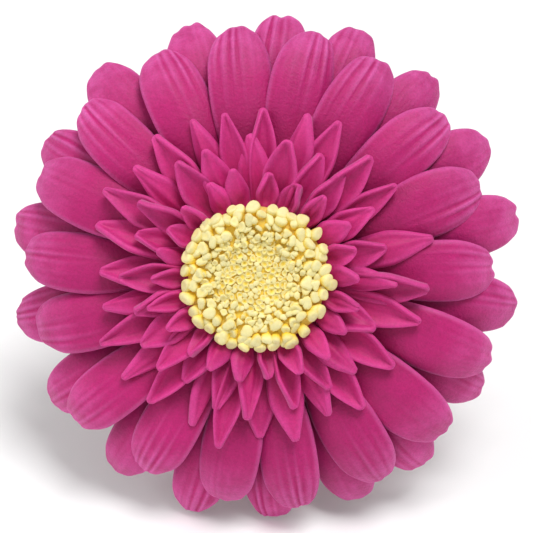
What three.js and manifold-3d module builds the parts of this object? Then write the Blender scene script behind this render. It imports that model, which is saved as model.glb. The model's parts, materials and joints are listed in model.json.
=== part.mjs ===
// A cut gerbera: one flower head on a short length of stem, lying on a table with its face turned up.
//
// Units are millimetres and degrees. The head is built in its own frame: +Z out of the face, +Y towards the
// top of the face, and height 0 at the rim of the receptacle, where the florets start. It is then leaned
// back, so that it rests on the tips of its lowest rays, and the stem curves down behind it to the table.
// Every ray floret is a piece of its own. The small inner florets and the bracts grow in whorls, and each
// whorl is one piece, joined at its foot.
import * as THREE from "three";
import { mergeVertices } from "three/addons/utils/BufferGeometryUtils.js";
import Module from "manifold-3d";

const wasm = await Module();
wasm.setup();

// ---------------------------------------------------------------- driving dimensions

const FACE_TILT = 30; // how far the face looks up from level, as the flower lies
const CLEARANCE = 0.35; // gap between pieces that meet

const RECEPTACLE = {
  radius: 13, // of the post that carries the florets
  postTop: 7.5, // height of the post's top
  depth: 20, // from the rim down to the neck
  bellRadius: 12.2, // widest radius of the bell under the rim
  bellTop: -4.2, // height at which the bell is widest
  shoulder: 1.2, // from there up to the post's foot
};

const DISC = {
  overhang: 2.4, // of the outermost disc florets past the post
  crest: 4.3, // thickness at the ring of open florets
  valley: 2.9, // thickness where the open florets give way to the buds
  button: 3.2, // thickness at the middle of the closed buds
  // Its side, from the edge of its base over the high ring, as shares of its radius and of its crest.
  side: [[0.85, 0], [0.97, 0.16], [1, 0.42], [0.95, 0.78], [0.82, 1], [0.66, 0.94]],
  valleyAt: 0.52, // share of its radius where the buds begin
  buttonAt: 0.26, // share of its radius where the buds level out
};

// reach: radius of the tips. claw and width: narrowest and widest breadth. level: height at the claw.
// rise and droop: how far the middle line climbs and then falls on its way to the tip.
// crown: how far the long edges fall below the middle line. passing: room between a ray's long edge and the
// neighbour that it passes over. phase: where the first floret would point, in degrees round the face. lean
// and extra: how far each floret strays from its even place, in degrees, and from the whorl's reach. A real
// head is never regular, and a whorl has one number in each list per floret.
const FRONT_RAYS = {
  count: 18, reach: 51.3, claw: 3.6, width: 13.2, thickness: 1.2,
  level: 2.2, rise: 3.0, droop: 7.5, crown: 1.2, passing: 0.11, phase: 0.3,
  lean: [2.5, 3.5, 2.5, 2.2, -0.6, -3, -4, -2, -3, -1.5, -3, 0, 1.5, 2.5, 0.5, 1.5, 0, 0.5],
  extra: [-1.8, -1.4, -0.4, 0, 0.6, 0.6, 0, 0.2, 0.6, -0.2, -1, 0.8, -1, -0.8, 0.5, 0.6, 1.2, 1.2],
};
const BACK_RAYS = {
  count: 18, reach: 55.3, claw: 3.6, width: 13.2, thickness: 1.2,
  level: -1.9, rise: 3.0, droop: 9.0, crown: 1.2, passing: 0.7, phase: 12.4,
  lean: [1, -0.5, -2, -3.5, -5, -3.5, -2, -1, -0.5, 1, 2, 3, 3.5, 2, 2.5, 0, 0.5, 1],
  extra: [1, 0.3, 0, 0.2, -0.6, -0.3, 0.7, -0.4, 0, 0, 0, 0.3, 0.7, -0.5, -0.5, 0.2, -0.9, 0],
};
const LOWER_INNER = {
  count: 26, reach: 34.9, claw: 2.8, width: 6.6, thickness: 1.1,
  level: 4.2, rise: 2.6, droop: 1.5, crown: 0.3, phase: 14.5,
  lean: [
    0, 7, 7, 8, 4.5, 7, 5, 3, 3, 1.5, -1, -2, 0,
    -1, -3, -2.5, -4, -2, -4, -5, -6, -6, -8, -4, -0.5, -2,
  ],
  extra: [
    2, -0.8, -1, 1, 0, -0.4, -0.8, 0, 1, -1, 1.6, 0.4, -2,
    -2, 1, 1, 0.4, 0, 1.8, -0.4, 0.4, -2.2, 0.4, -1, 0, 0.4,
  ],
};
const MIDDLE_INNER = {
  count: 22, reach: 28.1, claw: 2.8, width: 6.2, thickness: 1.1,
  level: 5.7, rise: 2.8, droop: 0.9, crown: 0.3, phase: -3,
  lean: [3, 1.5, 3, 6, 2, 0, -1, 2, -1, 4.5, 2.5, 5.5, 5, 3, -2, -5, -4, -7, -4, -4, -7, -2],
  extra: [
    0.6, -0.9, -0.4, -0.5, 0.3, 0.6, 1.2, 0, 0.6, 0.6, -1.6,
    0.3, -1.6, 0, 0, -1.2, 1, 1.6, 0.4, -0.4, 0.3, -1.5,
  ],
};
const UPPER_INNER = {
  count: 22, reach: 21.6, claw: 2.8, width: 5.0, thickness: 1.0,
  level: 7.2, rise: 2.6, droop: 0, crown: 0.2, phase: 2.5,
  lean: [0, -0.5, -2, 0, -1, 1, 3.5, 1.5, 4.5, 4, 1, 0.5, -0.5, -3, -0.5, -3, -1, -3, -1, 2, 1.5, -0.5],
  extra: [
    -0.6, -0.4, 0.5, 0.2, -0.7, 0, 1.1, 0, -0.8, -0.8, -0.4,
    0, 1.8, -0.4, -0.4, -0.4, 0, -0.5, 0, 0.5, 0, 0.3,
  ],
};
const COLLAR = { breadth: 1.6, thickness: 0.8 }; // the ring that joins the florets of one inner whorl

// from and to: how far along the bell a bract starts and ends. lift: how far it stands off the bell.
const BRACT_ROWS = [
  { name: "bracts_inner", count: 20, from: 0.3, to: 0.99, lift: 0.9, phase: 0 },
  { name: "bracts_middle", count: 18, from: 0.16, to: 0.76, lift: 2.1, phase: 7 },
  { name: "bracts_outer", count: 14, from: 0.04, to: 0.5, lift: 3.3, phase: 3 },
];
const BRACT_THICKNESS = 0.8;
const BRACT_LEVELS = [0, 0.3, 0.55]; // shares of a bract's height, the last being where it splits off
const NECK_LIP = 0.5; // how far the bell's foot stands out past the stem

const STEM = {
  neckRadius: 2.7, // just under the bell
  footRadius: 3.3, // at the cut end
  neckLength: 18, // straight run behind the head
  lyingLength: 22, // run that lies along the table, up to the cut
};

// How finely round and curved shapes are faceted.
const TURNED_SIDES = 32;
const COLLAR_SIDES = 24;
const STEM_SIDES = 12;
const STEM_ARC_STEPS = 12;
const BELL_STEPS = 7;

// ---------------------------------------------------------------- colours

const MAGENTA = new THREE.MeshStandardMaterial({ color: 0xcc4a90, roughness: 0.62 });
const ROSE = new THREE.MeshStandardMaterial({ color: 0xc8408a, roughness: 0.58 });
const BUTTER = new THREE.MeshStandardMaterial({ color: 0xf0e29b, roughness: 0.7 });
const LEAF_GREEN = new THREE.MeshStandardMaterial({ color: 0x7c9a4c, roughness: 0.7 });
const STEM_GREEN = new THREE.MeshStandardMaterial({ color: 0x88a354, roughness: 0.55 });

// ---------------------------------------------------------------- small helpers

const radians = THREE.MathUtils.degToRad;
const lerp = THREE.MathUtils.lerp;

/** A closed skin over rings of points that follow one another, each counter-clockwise seen from ahead. */
function loft(rings) {
  const around = rings[0].length;
  const positions = rings.flat().flatMap((p) => [p.x, p.y, p.z]);
  const index = [];
  for (let j = 0; j + 1 < rings.length; j++) {
    for (let i = 0; i < around; i++) {
      const a = j * around + i;
      const b = j * around + ((i + 1) % around);
      index.push(a, b, b + around, a, b + around, a + around);
    }
  }
  const last = (rings.length - 1) * around;
  for (let i = 1; i + 1 < around; i++) {
    index.push(0, i + 1, i);
    index.push(last, last + i, last + i + 1);
  }
  const geometry = new THREE.BufferGeometry();
  geometry.setAttribute("position", new THREE.Float32BufferAttribute(positions, 3));
  geometry.setIndex(index);
  return geometry;
}

/** A solid of revolution about +Z from [radius, height] pairs that start and end on the axis. */
function turned(profile, segments) {
  const points = profile.map(([r, h]) => new THREE.Vector2(r, h));
  return new THREE.LatheGeometry(points, segments).rotateX(Math.PI / 2);
}

/** A closed geometry as a solid that can be cut and joined. */
function toSolid(geometry) {
  const bare = geometry.clone();
  bare.deleteAttribute("normal");
  bare.deleteAttribute("uv");
  const merged = mergeVertices(bare, 1e-3);
  return new wasm.Manifold(
    new wasm.Mesh({
      numProp: 3,
      vertProperties: new Float32Array(merged.attributes.position.array),
      triVerts: new Uint32Array(merged.index.array),
    }),
  );
}

/** The joined solid of several closed geometries, as one geometry. */
function joined(geometries) {
  const mesh = geometries.map(toSolid).reduce((sum, next) => sum.add(next)).getMesh();
  const geometry = new THREE.BufferGeometry();
  geometry.setAttribute("position", new THREE.BufferAttribute(mesh.vertProperties, 3));
  geometry.setIndex(new THREE.BufferAttribute(mesh.triVerts, 1));
  return geometry;
}

/** A mesh with a node's name. */
function named(name, geometry, material) {
  const mesh = new THREE.Mesh(geometry, material);
  mesh.name = name;
  return mesh;
}

// ---------------------------------------------------------------- florets

// How the breadth runs from claw to tip, as shares of the length.
const FULL_BREADTH_AT = 0.64; // where a ray is as wide as it gets
const ROUNDING_FROM = 0.76; // where a ray's blunt tip starts to round off
const BLUNT_TIP = 0.4; // breadth left at a ray's tip
const INNER_FULL_AT = 0.5;
const POINT_FROM = 0.55; // where an inner floret starts to taper to its point
const SHARP_TIP = 0.12;

/** Half breadth of a ray floret at share s of its length: a wedge, then a blunt, rounded tip. */
function rayHalfBreadth(spec, s) {
  const wedge = lerp(spec.claw, spec.width, Math.min(s / FULL_BREADTH_AT, 1));
  const t = Math.max(0, (s - ROUNDING_FROM) / (1 - ROUNDING_FROM));
  return (wedge / 2) * Math.sqrt(1 - (1 - BLUNT_TIP ** 2) * t * t);
}

/** Half breadth of an inner floret at share s of its length: a wedge, then a point. */
function innerHalfBreadth(spec, s) {
  const wedge = lerp(spec.claw, spec.width, Math.min(s / INNER_FULL_AT, 1));
  const t = Math.max(0, (s - POINT_FROM) / (1 - POINT_FROM));
  return (wedge / 2) * (1 - (1 - SHARP_TIP) * t ** 1.2);
}

/** How far a ray is turned about its own length, so that its edge clears the neighbour it passes over. */
function passingTurn(spec) {
  const between = spec.lean.map((lean, i) => 360 / spec.count + spec.lean[(i + 1) % spec.count] - lean);
  const out = lerp(RECEPTACLE.radius, spec.reach, PASSING_AT);
  const pitch = 2 * out * Math.sin(radians(Math.min(...between)) / 2);
  const under = Math.min(1, pitch / rayHalfBreadth(spec, PASSING_AT) - 1);
  const rise = spec.thickness + spec.crown * (1 - under ** 2) + spec.passing;
  return Math.asin(rise / pitch);
}

/** One floret along +X: its claw is at radius start, and its tip is at the whorl's reach. */
function floret(spec, extra, start, roll, stations, across, halfBreadth) {
  const length = spec.reach + extra - start;
  const rings = stations.map((s) => {
    const x = start + length * s;
    const middle = spec.level + spec.rise * s - spec.droop * s ** 3;
    const half = halfBreadth(spec, s);
    const crown = spec.crown * Math.min(1, 3 * s);
    const skin = (v, side) => {
      const y = -v * half;
      const z = (side * spec.thickness * (1 - v ** 4)) / 2 - crown * v * v;
      const turn = roll * Math.min(1, 3 * s);
      return new THREE.Vector3(
        x,
        y * Math.cos(turn) - z * Math.sin(turn),
        middle + y * Math.sin(turn) + z * Math.cos(turn),
      );
    };
    const top = across.map((v) => skin(v, 1));
    const bottom = across.slice(1, -1).reverse().map((v) => skin(v, -1));
    return [...top, ...bottom];
  });
  return loft(rings);
}

const PASSING_AT = 0.75; // share of a ray's length where neighbours pass closest
const RAY_STATIONS = [0, 0.22, 0.45, 0.64, 0.78, 0.9, 0.97, 1];
const RAY_ACROSS = [-1, -0.55, 0, 0.55, 1];
const INNER_STATIONS = [0, 0.5, 0.8, 1];
const INNER_ACROSS = [-1, 0, 1];

/** The direction of floret i of a whorl, in degrees round the face from +X. */
const bearing = (spec, i) => spec.phase + (360 / spec.count) * i + spec.lean[i];

/** A whorl of ray florets, each a mesh of its own. */
function rays(spec, prefix) {
  const start = RECEPTACLE.radius + CLEARANCE;
  const turn = passingTurn(spec);
  return spec.lean.map((_, i) => {
    const geometry = floret(spec, spec.extra[i], start, turn, RAY_STATIONS, RAY_ACROSS, rayHalfBreadth);
    const mesh = named(`${prefix}_${String(i + 1).padStart(2, "0")}`, geometry, MAGENTA);
    mesh.rotation.z = radians(bearing(spec, i));
    return mesh;
  });
}

/** A whorl of inner florets, joined by the collar that they stand on. */
function innerWhorl(spec, name) {
  const inner = RECEPTACLE.radius + CLEARANCE;
  const low = spec.level - COLLAR.thickness / 2;
  const high = spec.level + COLLAR.thickness / 2;
  const outer = inner + COLLAR.breadth;
  const section = [[inner, low], [outer, low], [outer, high], [inner, high], [inner, low]];
  const collar = turned(section, COLLAR_SIDES);
  const start = inner + COLLAR.breadth / 2; // inside the collar's body
  const florets = spec.lean.map((_, i) =>
    floret(spec, spec.extra[i], start, 0, INNER_STATIONS, INNER_ACROSS, innerHalfBreadth).rotateZ(
      radians(bearing(spec, i)),
    ),
  );
  return named(name, joined([collar, ...florets]), ROSE);
}

// ---------------------------------------------------------------- disc, receptacle and bracts

/** The disc: a flat base, a high ring of open florets, and a lower middle of buds. */
function discFlorets() {
  const base = RECEPTACLE.postTop + CLEARANCE;
  const r = RECEPTACLE.radius + DISC.overhang;
  const side = DISC.side.map(([out, up]) => [out * r, base + up * DISC.crest]);
  const valley = [DISC.valleyAt * r, base + DISC.valley];
  const button = [[DISC.buttonAt * r, base + DISC.button], [0, base + DISC.button]];
  return named("disc_florets", turned([[0, base], ...side, valley, ...button], TURNED_SIDES), BUTTER);
}

// The bell's side from the neck to its widest, which the bracts follow too. It leaves the neck nearly level
// and meets the widest ring nearly upright.
const BELL_SIDE = new THREE.CubicBezierCurve(
  new THREE.Vector2(STEM.neckRadius + NECK_LIP, -RECEPTACLE.depth),
  new THREE.Vector2(0.62 * RECEPTACLE.bellRadius, -0.98 * RECEPTACLE.depth),
  new THREE.Vector2(0.96 * RECEPTACLE.bellRadius, -0.62 * RECEPTACLE.depth),
  new THREE.Vector2(RECEPTACLE.bellRadius, RECEPTACLE.bellTop),
);

/** The receptacle: the bell, its shoulder, and the post that carries the florets. */
function receptacle() {
  const side = BELL_SIDE.getPoints(BELL_STEPS).map((p) => [p.x, p.y]);
  const neck = [0, -RECEPTACLE.depth];
  const shoulder = [RECEPTACLE.radius, RECEPTACLE.bellTop + RECEPTACLE.shoulder];
  const post = [[RECEPTACLE.radius, RECEPTACLE.postTop], [0, RECEPTACLE.postTop]];
  return named("receptacle", turned([neck, ...side, shoulder, ...post], TURNED_SIDES), LEAF_GREEN);
}

/** A point standing off the bell's side: share at of the way up, off millimetres out, at angle round. */
function onBell(at, off, angle) {
  const along = BELL_SIDE.getTangent(at);
  const p = BELL_SIDE.getPoint(at).add(new THREE.Vector2(along.y, -along.x).multiplyScalar(off));
  return [p.x * Math.cos(angle), p.x * Math.sin(angle), p.y];
}

/** A row of bracts: a shell round the bell that splits into one pointed bract after another. */
function bractRow(row) {
  const columns = 2 * row.count; // even columns run between two bracts, odd ones up the middle of one
  const levels = BRACT_LEVELS.map((s) => lerp(row.from, row.to, s));
  const positions = [];
  const angle = (column) => radians(row.phase) + (2 * Math.PI * column) / columns;
  for (const off of [row.lift + BRACT_THICKNESS / 2, row.lift - BRACT_THICKNESS / 2]) {
    for (const at of levels) {
      for (let column = 0; column < columns; column++) {
        positions.push(...onBell(at, off, angle(column)));
      }
    }
  }
  for (let column = 1; column < columns; column += 2) {
    positions.push(...onBell(row.to, row.lift, angle(column)));
  }
  const shell = levels.length * columns;
  const point = (side, level, column) => side * shell + level * columns + (column % columns);
  const index = [];
  for (let column = 0; column < columns; column++) {
    for (let level = 0; level + 1 < levels.length; level++) {
      const outer = [0, 1].flatMap((up) => [0, 1].map((on) => point(0, level + up, column + on)));
      const inner = outer.map((v) => v + shell);
      index.push(outer[0], outer[1], outer[3], outer[0], outer[3], outer[2]);
      index.push(inner[0], inner[3], inner[1], inner[0], inner[2], inner[3]);
    }
    const [outerFoot, outerNext] = [point(0, 0, column), point(0, 0, column + 1)];
    const [innerFoot, innerNext] = [outerFoot + shell, outerNext + shell];
    index.push(outerFoot, innerNext, outerNext, outerFoot, innerFoot, innerNext);
    const tip = 2 * shell + Math.floor(column / 2);
    const top = levels.length - 1;
    index.push(point(0, top, column), point(0, top, column + 1), tip);
    index.push(point(1, top, column + 1), point(1, top, column), tip);
    if (column % 2 === 0) {
      index.push(point(1, top, column), point(0, top, column), tip);
    } else {
      index.push(point(0, top, column + 1), point(1, top, column + 1), tip);
    }
  }
  const geometry = new THREE.BufferGeometry();
  geometry.setAttribute("position", new THREE.Float32BufferAttribute(positions, 3));
  geometry.setIndex(index);
  return named(row.name, geometry, LEAF_GREEN);
}

// ---------------------------------------------------------------- stem

/** The stem's middle line: straight behind the head, then an arc down to the table, then along it. */
function stemPath(neck) {
  const tilt = radians(FACE_TILT);
  const straight = new THREE.Vector3(0, Math.cos(tilt), -Math.sin(tilt));
  const bend = neck.clone().addScaledVector(straight, STEM.neckLength);
  const radius = (bend.z - STEM.footRadius) / (1 - Math.cos(tilt));
  const centre = new THREE.Vector3(0, bend.y + radius * Math.sin(tilt), bend.z + radius * Math.cos(tilt));
  const points = [neck, neck.clone().lerp(bend, 0.5)];
  for (let i = 0; i <= STEM_ARC_STEPS; i++) {
    const a = tilt * (1 - i / STEM_ARC_STEPS);
    points.push(new THREE.Vector3(0, centre.y - radius * Math.sin(a), centre.z - radius * Math.cos(a)));
  }
  points.push(new THREE.Vector3(0, centre.y + STEM.lyingLength / 2, STEM.footRadius));
  points.push(new THREE.Vector3(0, centre.y + STEM.lyingLength, STEM.footRadius));
  return points;
}

/** The stem, which thickens towards its cut end. */
function stem(neck) {
  const points = stemPath(neck);
  const rings = points.map((p, j) => {
    const before = points[Math.max(0, j - 1)];
    const after = points[Math.min(points.length - 1, j + 1)];
    const ahead = after.clone().sub(before).normalize();
    const up = new THREE.Vector3(0, -ahead.z, ahead.y);
    const radius = lerp(STEM.neckRadius, STEM.footRadius, j / (points.length - 1));
    return Array.from({ length: STEM_SIDES }, (_, i) => {
      const a = (2 * Math.PI * (i + 0.5)) / STEM_SIDES; // a flat, not an edge, is undermost
      return p
        .clone()
        .add(new THREE.Vector3(-radius * Math.cos(a), 0, 0))
        .addScaledVector(up, radius * Math.sin(a));
    });
  });
  return named("stem", loft(rings), STEM_GREEN);
}

// ---------------------------------------------------------------- assembly

const head = new THREE.Group();
head.add(receptacle(), discFlorets());
head.add(...rays(BACK_RAYS, "ray_back"), ...rays(FRONT_RAYS, "ray_front"));
head.add(innerWhorl(LOWER_INNER, "inner_florets_lower"));
head.add(innerWhorl(MIDDLE_INNER, "inner_florets_middle"));
head.add(innerWhorl(UPPER_INNER, "inner_florets_upper"));
head.add(...BRACT_ROWS.map(bractRow));

// Lean the head back and set it down on its lowest ray tips.
head.rotation.x = radians(90 - FACE_TILT);
head.updateMatrixWorld(true);
head.position.z = -new THREE.Box3().setFromObject(head, true).min.z;
head.updateMatrixWorld(true);

const neck = new THREE.Vector3(0, 0, -RECEPTACLE.depth - CLEARANCE).applyMatrix4(head.matrixWorld);
const flower = new THREE.Group();
flower.add(head, stem(neck));

// Centre the footprint on the origin.
const footprint = new THREE.Box3().setFromObject(flower, true).getCenter(new THREE.Vector3());
flower.position.set(-footprint.x, -footprint.y, 0);

export default flower;
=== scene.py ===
"""A cut gerbera, dressed in Blender around its CAD frame.

The flower head is made in its own frame, in millimetres: +Z out of the face, +Y towards the top of the face,
and height 0 at the rim of the receptacle, where the rays start. HeadFrame turns that into the row's frame, in
metres. The stem lies in the row's own frame. Each whorl, row and ring of small pieces is a Geometry Nodes
tree, and each long ray is a mesh of its own.
"""

import json
import logging
import math
from collections.abc import Callable, Sequence
from dataclasses import dataclass
from enum import Enum

import bpy
import numpy as np
from mathutils import Matrix, Vector

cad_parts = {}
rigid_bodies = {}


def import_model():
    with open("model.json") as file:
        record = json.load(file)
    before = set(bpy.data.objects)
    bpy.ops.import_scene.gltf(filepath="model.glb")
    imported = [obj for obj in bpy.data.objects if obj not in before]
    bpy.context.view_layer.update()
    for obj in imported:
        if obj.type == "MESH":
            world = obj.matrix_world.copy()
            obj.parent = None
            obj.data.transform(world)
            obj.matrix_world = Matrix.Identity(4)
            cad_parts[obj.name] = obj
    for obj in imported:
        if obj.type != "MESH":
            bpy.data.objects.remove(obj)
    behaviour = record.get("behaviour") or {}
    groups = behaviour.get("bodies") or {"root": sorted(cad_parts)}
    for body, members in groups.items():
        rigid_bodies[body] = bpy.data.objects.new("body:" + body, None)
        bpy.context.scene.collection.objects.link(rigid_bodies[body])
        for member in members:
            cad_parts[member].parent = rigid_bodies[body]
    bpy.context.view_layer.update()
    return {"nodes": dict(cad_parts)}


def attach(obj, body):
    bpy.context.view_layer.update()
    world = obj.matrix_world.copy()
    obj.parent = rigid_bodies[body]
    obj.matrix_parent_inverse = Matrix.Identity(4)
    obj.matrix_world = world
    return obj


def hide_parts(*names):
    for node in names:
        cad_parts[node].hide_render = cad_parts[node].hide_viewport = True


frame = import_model()

logging.basicConfig(level=logging.INFO, format="%(message)s")
log = logging.getLogger("gerbera")

MM = 0.001
FACE_TILT = 30.0  # degrees that the face looks up from level
AIM_POINT = (1.5, 1.6, 2.0)  # what the camera looks at, in the head's frame
FULL_TURN = 6.283  # radians
GOLDEN_ANGLE = math.pi * (3.0 - math.sqrt(5.0))

Colour = tuple[float, float, float, float]
Grid = np.ndarray
Dyes = tuple[tuple[int, int, int], ...]
Pair = tuple[float, float]
Triple = tuple[float, float, float]
Material = bpy.types.Material
Mesh = bpy.types.Mesh
Random = np.random.Generator
Collection = bpy.types.Collection
NodeTree = bpy.types.NodeTree
Socket = bpy.types.NodeSocket
Sockets = bpy.types.bpy_prop_collection
Values = dict[str, object]
WHITE: Colour = (1.0, 1.0, 1.0, 1.0)


def linear(red: int, green: int, blue: int) -> Colour:
    """A screen colour, 0 to 255 in each channel, as Blender's linear colour."""
    parts = [c / 255 for c in (red, green, blue)]
    bent = [c / 12.92 if c <= 0.04045 else ((c + 0.055) / 1.055) ** 2.4 for c in parts]
    return (bent[0], bent[1], bent[2], 1.0)


def smoothstep(low: float, high: float, x: Grid) -> Grid:
    """A smooth rise from 0 at low to 1 at high."""
    t = np.clip((x - low) / (high - low), 0.0, 1.0)
    return t * t * (3.0 - 2.0 * t)


def ripple(x: Grid, waves: Sequence[tuple[float, float, float]]) -> Grid:
    """A sum of sine waves.

    Args:
        x: Where to read it.
        waves: Each wave's height, turns per unit of x, and phase in turns.

    Returns:
        The sum at each x.
    """
    return sum(height * np.sin(2 * math.pi * (turns * x + phase)) for height, turns, phase in waves)


# ------------------------------------------ node trees


class TreeBuilder:
    """Adds nodes to a node tree, feeding each input as it goes."""

    def __init__(self, tree: NodeTree) -> None:
        """Starts with an empty tree.

        Args:
            tree: The tree to fill. What it holds is cleared.
        """
        self.tree = tree
        tree.nodes.clear()

    def add(self, kind: str, feeds: dict[int | str, object] | None = None, **settings: object) -> bpy.types.Node:
        """Adds a node.

        Args:
            kind: The node's type name.
            feeds: Input name or number to a value, or to the output that drives it.
            **settings: The node's own properties.

        Returns:
            The new node.
        """
        node = self.tree.nodes.new(kind)
        for key, value in settings.items():
            setattr(node, key, value)
        for key, value in (feeds or {}).items():
            if isinstance(value, Socket):
                self.tree.links.new(value, node.inputs[key])
            else:
                node.inputs[key].default_value = value
        return node

    def math(self, operation: str, *values: object, clamp: bool = False) -> Socket:
        """The result of a Math node on one to three values or outputs."""
        feeds = dict(enumerate(values))
        return self.add("ShaderNodeMath", feeds, operation=operation, use_clamp=clamp).outputs[0]

    def plus(self, a: object, b: object, clamp: bool = False) -> Socket:
        """The sum of two numbers or outputs."""
        return self.math("ADD", a, b, clamp=clamp)

    def minus(self, a: object, b: object) -> Socket:
        """The first number or output less the second."""
        return self.math("SUBTRACT", a, b)

    def times(self, a: object, b: object, clamp: bool = False) -> Socket:
        """The product of two numbers or outputs."""
        return self.math("MULTIPLY", a, b, clamp=clamp)

    def vector(self, operation: str, *values: object) -> Socket:
        """The vector result of a Vector Math node."""
        return self.add("ShaderNodeVectorMath", dict(enumerate(values)), operation=operation).outputs[0]

    def combine(self, x: object, y: object, z: object) -> Socket:
        """A vector from three numbers or outputs."""
        return self.add("ShaderNodeCombineXYZ", {0: x, 1: y, 2: z}).outputs[0]

    def even(self, value: object) -> Socket:
        """A vector that holds one number three times."""
        return self.combine(value, value, value)

    def split(self, vector: object) -> Sockets:
        """The three numbers of a vector."""
        return self.add("ShaderNodeSeparateXYZ", {0: vector}).outputs

    def painted(self, label: str) -> Socket:
        """A number attribute, read by a shader."""
        return self.add("ShaderNodeAttribute", attribute_name=label).outputs["Fac"]

    def held(self, label: str) -> Socket:
        """A number attribute, read by a geometry tree."""
        return self.add("GeometryNodeInputNamedAttribute", {"Name": label}, data_type="FLOAT").outputs[0]

    def random(self, low: object, high: object, seed: object) -> Socket:
        """A number that is random from point to point."""
        return self.add("FunctionNodeRandomValue", {2: low, 3: high, "Seed": seed}, data_type="FLOAT").outputs[1]

    def planted(self, points: object, stock: object, kind: object, **more: object) -> Socket:
        """Shapes of a collection set on points and made real, each picked by its kind."""
        picks = self.add("GeometryNodeCollectionInfo", {0: stock, 1: True, 2: True}, transform_space="ORIGINAL")
        feeds = {"Points": points, "Instance": picks.outputs[0], "Pick Instance": True, "Instance Index": kind}
        set_down = self.add("GeometryNodeInstanceOnPoints", feeds | more)
        return self.add("GeometryNodeRealizeInstances", {0: set_down.outputs[0]}).outputs[0]

    def ends(self, geometry: object, finish: object, out: Sockets) -> NodeTree:
        """Gives the geometry its finish and sends it to the tree's output."""
        dressed = self.add("GeometryNodeSetMaterial", {"Geometry": geometry, "Material": finish})
        self.tree.links.new(dressed.outputs[0], out[0])
        return self.tree

    def blend(self, factor: object, a: object, b: object, mode: str = "MIX") -> Socket:
        """Colour a mixed with colour b by a factor."""
        node = self.add("ShaderNodeMix", {0: factor, 6: a, 7: b}, data_type="RGBA", blend_type=mode)
        return node.outputs[2]

    def span(self, value: object, low: float, high: float, out_low: float, out_high: float) -> Socket:
        """A value eased from one range to another, and held at its ends."""
        feeds = {0: value, 1: low, 2: high, 3: out_low, 4: out_high}
        return self.add("ShaderNodeMapRange", feeds, interpolation_type="SMOOTHSTEP").outputs[0]

    def noise(self, vector: object, scale: object, detail: float = 2.0) -> Socket:
        """The 0 to 1 value of a Noise Texture."""
        return self.add("ShaderNodeTexNoise", {"Vector": vector, "Scale": scale, "Detail": detail}).outputs[0]


TreeParts = tuple[TreeBuilder, Sockets, Sockets]


def geometry_tree(name: str, inputs: dict[str, tuple[str, object]]) -> TreeParts:
    """An empty Geometry Nodes tree with named inputs.

    Args:
        name: The tree's name.
        inputs: Each input's name to its socket type and its default, or None for no default.

    Returns:
        The builder, the sockets that bring the inputs, and the sockets that take the results.
    """
    tree = bpy.data.node_groups.new(name, "GeometryNodeTree")
    build = TreeBuilder(tree)
    tree.interface.new_socket("Geometry", in_out="INPUT", socket_type="NodeSocketGeometry")
    tree.interface.new_socket("Geometry", in_out="OUTPUT", socket_type="NodeSocketGeometry")
    for label, (kind, default) in inputs.items():
        socket = tree.interface.new_socket(label, in_out="INPUT", socket_type=kind)
        if default is not None:
            socket.default_value = default
    return build, build.add("NodeGroupInput").outputs, build.add("NodeGroupOutput").inputs


def grown(seed_mesh: Mesh, tree: NodeTree, values: dict[str, object], name: str) -> Mesh:
    """Runs a Geometry Nodes tree on a mesh and keeps its result as a plain mesh.

    Args:
        seed_mesh: The mesh that the tree starts from.
        tree: The Geometry Nodes tree.
        values: Input name to value.
        name: The new mesh's name.

    Returns:
        The result, with nothing live left on it.
    """
    carrier = bpy.data.objects.new(name + "_seed", seed_mesh)
    bpy.context.scene.collection.objects.link(carrier)
    modifier = carrier.modifiers.new("grow", "NODES")
    modifier.node_group = tree
    sockets = {item.name: item.identifier for item in tree.interface.items_tree if item.in_out == "INPUT"}
    for label, value in values.items():
        modifier[sockets[label]] = value
    depsgraph = bpy.context.evaluated_depsgraph_get()
    evaluated = carrier.evaluated_get(depsgraph)
    mesh = bpy.data.meshes.new_from_object(evaluated, preserve_all_data_layers=True, depsgraph=depsgraph)
    mesh.name = name
    bpy.data.objects.remove(carrier)
    return mesh


# ------------------------------------------ meshes


@dataclass(frozen=True)
class HeadFrame:
    """The flower head's own frame, found from the CAD disc."""

    matrix: Matrix  # from the head's millimetres to the row's metres

    @classmethod
    def from_disc(cls, disc: bpy.types.Object, base_height: float) -> "HeadFrame":
        """Finds the frame from the disc's flat base, which is square to the head's axis.

        Args:
            disc: The CAD disc.
            base_height: Height of its base over the receptacle's rim, in millimetres.

        Returns:
            The head's frame.
        """
        turn = Matrix.Rotation(math.radians(90.0 - FACE_TILT), 4, "X")
        axis = np.array(turn @ Vector((0.0, 0.0, 1.0)))
        points = np.array([v.co for v in disc.data.vertices])
        height = points @ axis
        base = points[height < height.min() + 0.05 * MM]
        centre = (base.min(axis=0) + base.max(axis=0)) / 2 - axis * base_height * MM
        return cls(Matrix.Translation(Vector(centre)) @ turn @ Matrix.Scale(MM, 4))

    def place(self, mesh: Mesh) -> Mesh:
        """The mesh, moved from the head's millimetres to the row's metres."""
        mesh.transform(self.matrix)
        return mesh


def mesh_from(name: str, points: Grid, faces: list[tuple[int, ...]], values: dict[str, Grid]) -> Mesh:
    """A smooth-shaded mesh with number attributes on its points.

    Args:
        name: The mesh's name.
        points: One row per vertex.
        faces: Vertex numbers of each face.
        values: Attribute name to one number per vertex.

    Returns:
        The mesh.
    """
    mesh = bpy.data.meshes.new(name)
    mesh.from_pydata(points.tolist(), [], faces)
    for label, numbers in values.items():
        held = mesh.attributes.new(label, "FLOAT", "POINT").data
        held.foreach_set("value", np.ascontiguousarray(numbers, np.float32))
    mesh.shade_smooth()
    mesh.update()
    return mesh


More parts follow.
